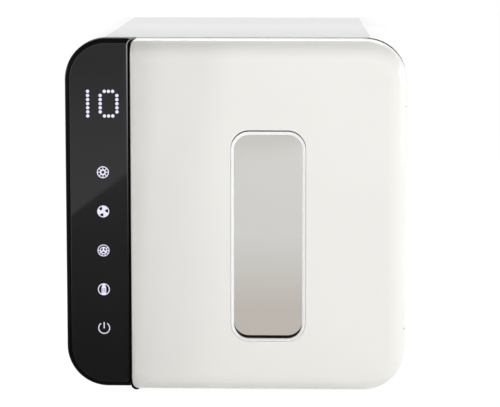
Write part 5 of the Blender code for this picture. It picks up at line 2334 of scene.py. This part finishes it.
@dataclass
class AirPath:
    """What moves the air: heater, fan and filter behind the chamber, and the mains socket beside them."""

    grille_corner: float = 0.008
    grille_edge: float = 0.0008
    slot_count: int = 9
    slot_size: Pair = (0.072, 0.004)
    slot_pitch: float = 0.0078
    slat_thin: float = 0.0014
    slat_tilt_deg: float = 75.0
    fold_count: int = 26
    fold_depth: float = 0.005
    fold_rim: float = 0.0006
    socket_flange: float = SOCKET_FLANGE
    socket_thick: float = 0.0018
    socket_wall: float = 0.003
    socket_depth: float = 0.014
    pin_radius: float = 0.0012
    pin_length: float = 0.009
    pin_side: float = 0.0043
    hub_radius: float = 0.015
    blade_count: int = 7
    blade_thick: float = 0.0014
    blade_camber: float = 0.0010
    blade_thinning: float = 0.7
    blade_reach: Pair = (0.0138, 0.0365)
    blade_pitch_deg: Pair = (45.0, 32.0)
    blade_depth: float = 0.0106

    def build(self) -> None:
        """Build and dress the air path."""
        fit(self.grille(), Body.FILTER, WHITE_SATIN, "filter_cover")
        fit(self.pad(), Body.FILTER, FLEECE, "air_filter")
        fit(self.socket(), Body.CABINET, DARK_GRAIN, "mains_inlet")
        fit(self.pins(), Body.CABINET, ZINC)
        fit(self.wheel(), Body.FAN, DARK_GRAIN, "fan_rotor")
        dress(FIN_METAL, "heater")
        dress(DARK_GRAIN, "air_duct", "fan_frame", "fan_motor")

    def grille(self) -> Piece:
        """The filter's cover: a soft-edged plate with a window of tilted slats.

        Returns:
            The new piece.
        """
        front, rear = depths("filter_cover")
        face = Face.of("filter_cover")
        cover = plate("filter_grille_rim", face, front, rear, self.grille_corner, self.grille_edge)
        width, height = self.slot_size
        tall = (self.slot_count - 1) * self.slot_pitch + height
        hole = Face.about(face.x, face.z, width, tall).rounded(height / 2)
        carve(cover, [loft("grille_window", [(front - OVERCUT, hole), (rear + OVERCUT, hole)])])
        sizes = {
            "Length": width + height / 2,
            "Width": self.slot_pitch - height,
            "Thickness": self.slat_thin,
            "Edge Radius": self.slat_thin * 0.4,
            "Count": self.slot_count - 1,
            "First": (face.x, (front + rear) / 2, face.z - (self.slot_count - 2) / 2 * self.slot_pitch),
            "Step": (0.0, 0.0, self.slot_pitch),
            "Turn": (0.0, math.radians(self.slat_tilt_deg), math.pi / 2),
            "Finish": WHITE_SATIN.material(),
        }
        return merged("filter_grille", [cover, row_rule().grow("grille_slats", sizes)])

    def pad(self) -> Piece:
        """The filter's fleece, folded from side to side.

        Returns:
            The new piece.
        """
        low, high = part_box("air_filter")
        step = (high.x - low.x - 2 * self.fold_rim) / self.fold_count
        near, far = [], []
        for fold in range(self.fold_count + 1):
            x = low.x + self.fold_rim + fold * step
            shift = self.fold_depth * (fold % 2)
            near.append((x, low.y + HAIR + shift))
            far.append((x, high.y - HAIR - self.fold_depth + shift))
        outline = near + far[::-1]
        levels = [(low.z + self.fold_rim, outline), (high.z - self.fold_rim, outline)]
        return loft("filter_pad", levels, axis=Axis.UPRIGHT)

    def socket(self) -> Piece:
        """The mains socket: flange, recess and body.

        Returns:
            The new piece.
        """
        front, rear = depths("mains_inlet")
        face = Face.of("mains_inlet")
        body = face.grown(-self.socket_flange)
        hollow = body.grown(-self.socket_wall)
        bend = hollow.height / 2 - HAIR
        edge = 2 * HAIR
        flange_front = rear - self.socket_thick
        corner = self.socket_flange
        levels = [(rear - self.socket_depth, hollow.rounded(bend)), (rear - edge, hollow.rounded(bend))]
        levels += [(rear, hollow.grown(edge).rounded(bend + edge)), (rear, face.grown(-edge).rounded(corner))]
        levels += [(rear - edge, face.rounded(corner)), (flange_front, face.rounded(corner))]
        levels += [(flange_front, body.rounded(HAIR)), (front, body.rounded(HAIR))]
        return loft("mains_socket", levels)

    def pins(self) -> Piece:
        """The socket's two contact pins, with round tips.

        Returns:
            The new piece.
        """
        face = Face.of("mains_inlet")
        floor_y = depths("mains_inlet")[1] - self.socket_depth - HAIR
        reach, tip = self.pin_radius, self.pin_length
        profile = [(reach, 0.0), (reach, tip - reach), (reach * 0.87, tip - reach * 0.5),
                   (reach * 0.5, tip - reach * 0.13), (reach * AXIS_SHARE, tip)]
        spots = [(face.x + side * self.pin_side, floor_y, face.z) for side in (-1.0, 1.0)]
        return merged("mains_pins", [turned("pin", profile, spot, Axis.DEEP) for spot in spots])

    def blade(self) -> Piece:
        """One fan blade, twisted from root to tip, pointing along x from the fan's middle.

        Returns:
            The new object.
        """
        steps, spots = 8, (-1.0, -0.6, -0.2, 0.2, 0.6, 1.0)
        rings = []
        for step in range(steps + 1):
            share = step / steps
            radius = between(self.blade_reach, share)
            pitch = math.radians(between(self.blade_pitch_deg, share))
            half = self.blade_depth / math.sin(pitch) / 2
            across = Vector((0.0, math.sin(pitch), math.cos(pitch)))
            up = Vector((0.0, math.cos(pitch), -math.sin(pitch)))
            sides = []
            for sign in (1.0, -1.0):
                side = []
                for spot in spots:
                    bow = self.blade_camber * (1 - spot * spot)
                    thick = sign * self.blade_thick / 2 * (1 - self.blade_thinning * spot * spot)
                    side.append(Vector((radius, 0.0, 0.0)) + across * half * spot + up * (bow + thick))
                sides.append(side)
            rings.append(sides[0] + sides[1][::-1])
        return piece_from("fan_blade", skin(rings))

    def wheel(self) -> Piece:
        """The fan's rotor: a domed hub with a ring of blades.

        Returns:
            The new piece.
        """
        low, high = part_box("fan_rotor")
        motor = Face.of("fan_motor")
        place = (motor.x, (low.y + high.y) / 2, motor.z)
        profile = scaled(HUB_DOME, self.hub_radius, high.y - low.y)
        hub = turned("fan_hub", profile, (motor.x, low.y, motor.z), Axis.DEEP)
        sizes = {"Shape": self.blade(), "Count": self.blade_count, "Place": place,
                 "Finish": DARK_GRAIN.material()}
        blades = wheel_rule().grow("fan_blades", sizes)
        return merged("fan_wheel", [hub, blades])


def main() -> None:
    """Build the looks, piece by piece."""
    Studio().build()
    for part in (Casing(), ControlStrip(), Door(), Chamber(), AirPath()):
        LOG.info("building %s", type(part).__name__)
        part.build()


if __name__ == "__main__":
    logging.basicConfig(level=logging.INFO, format="%(message)s")
    main()
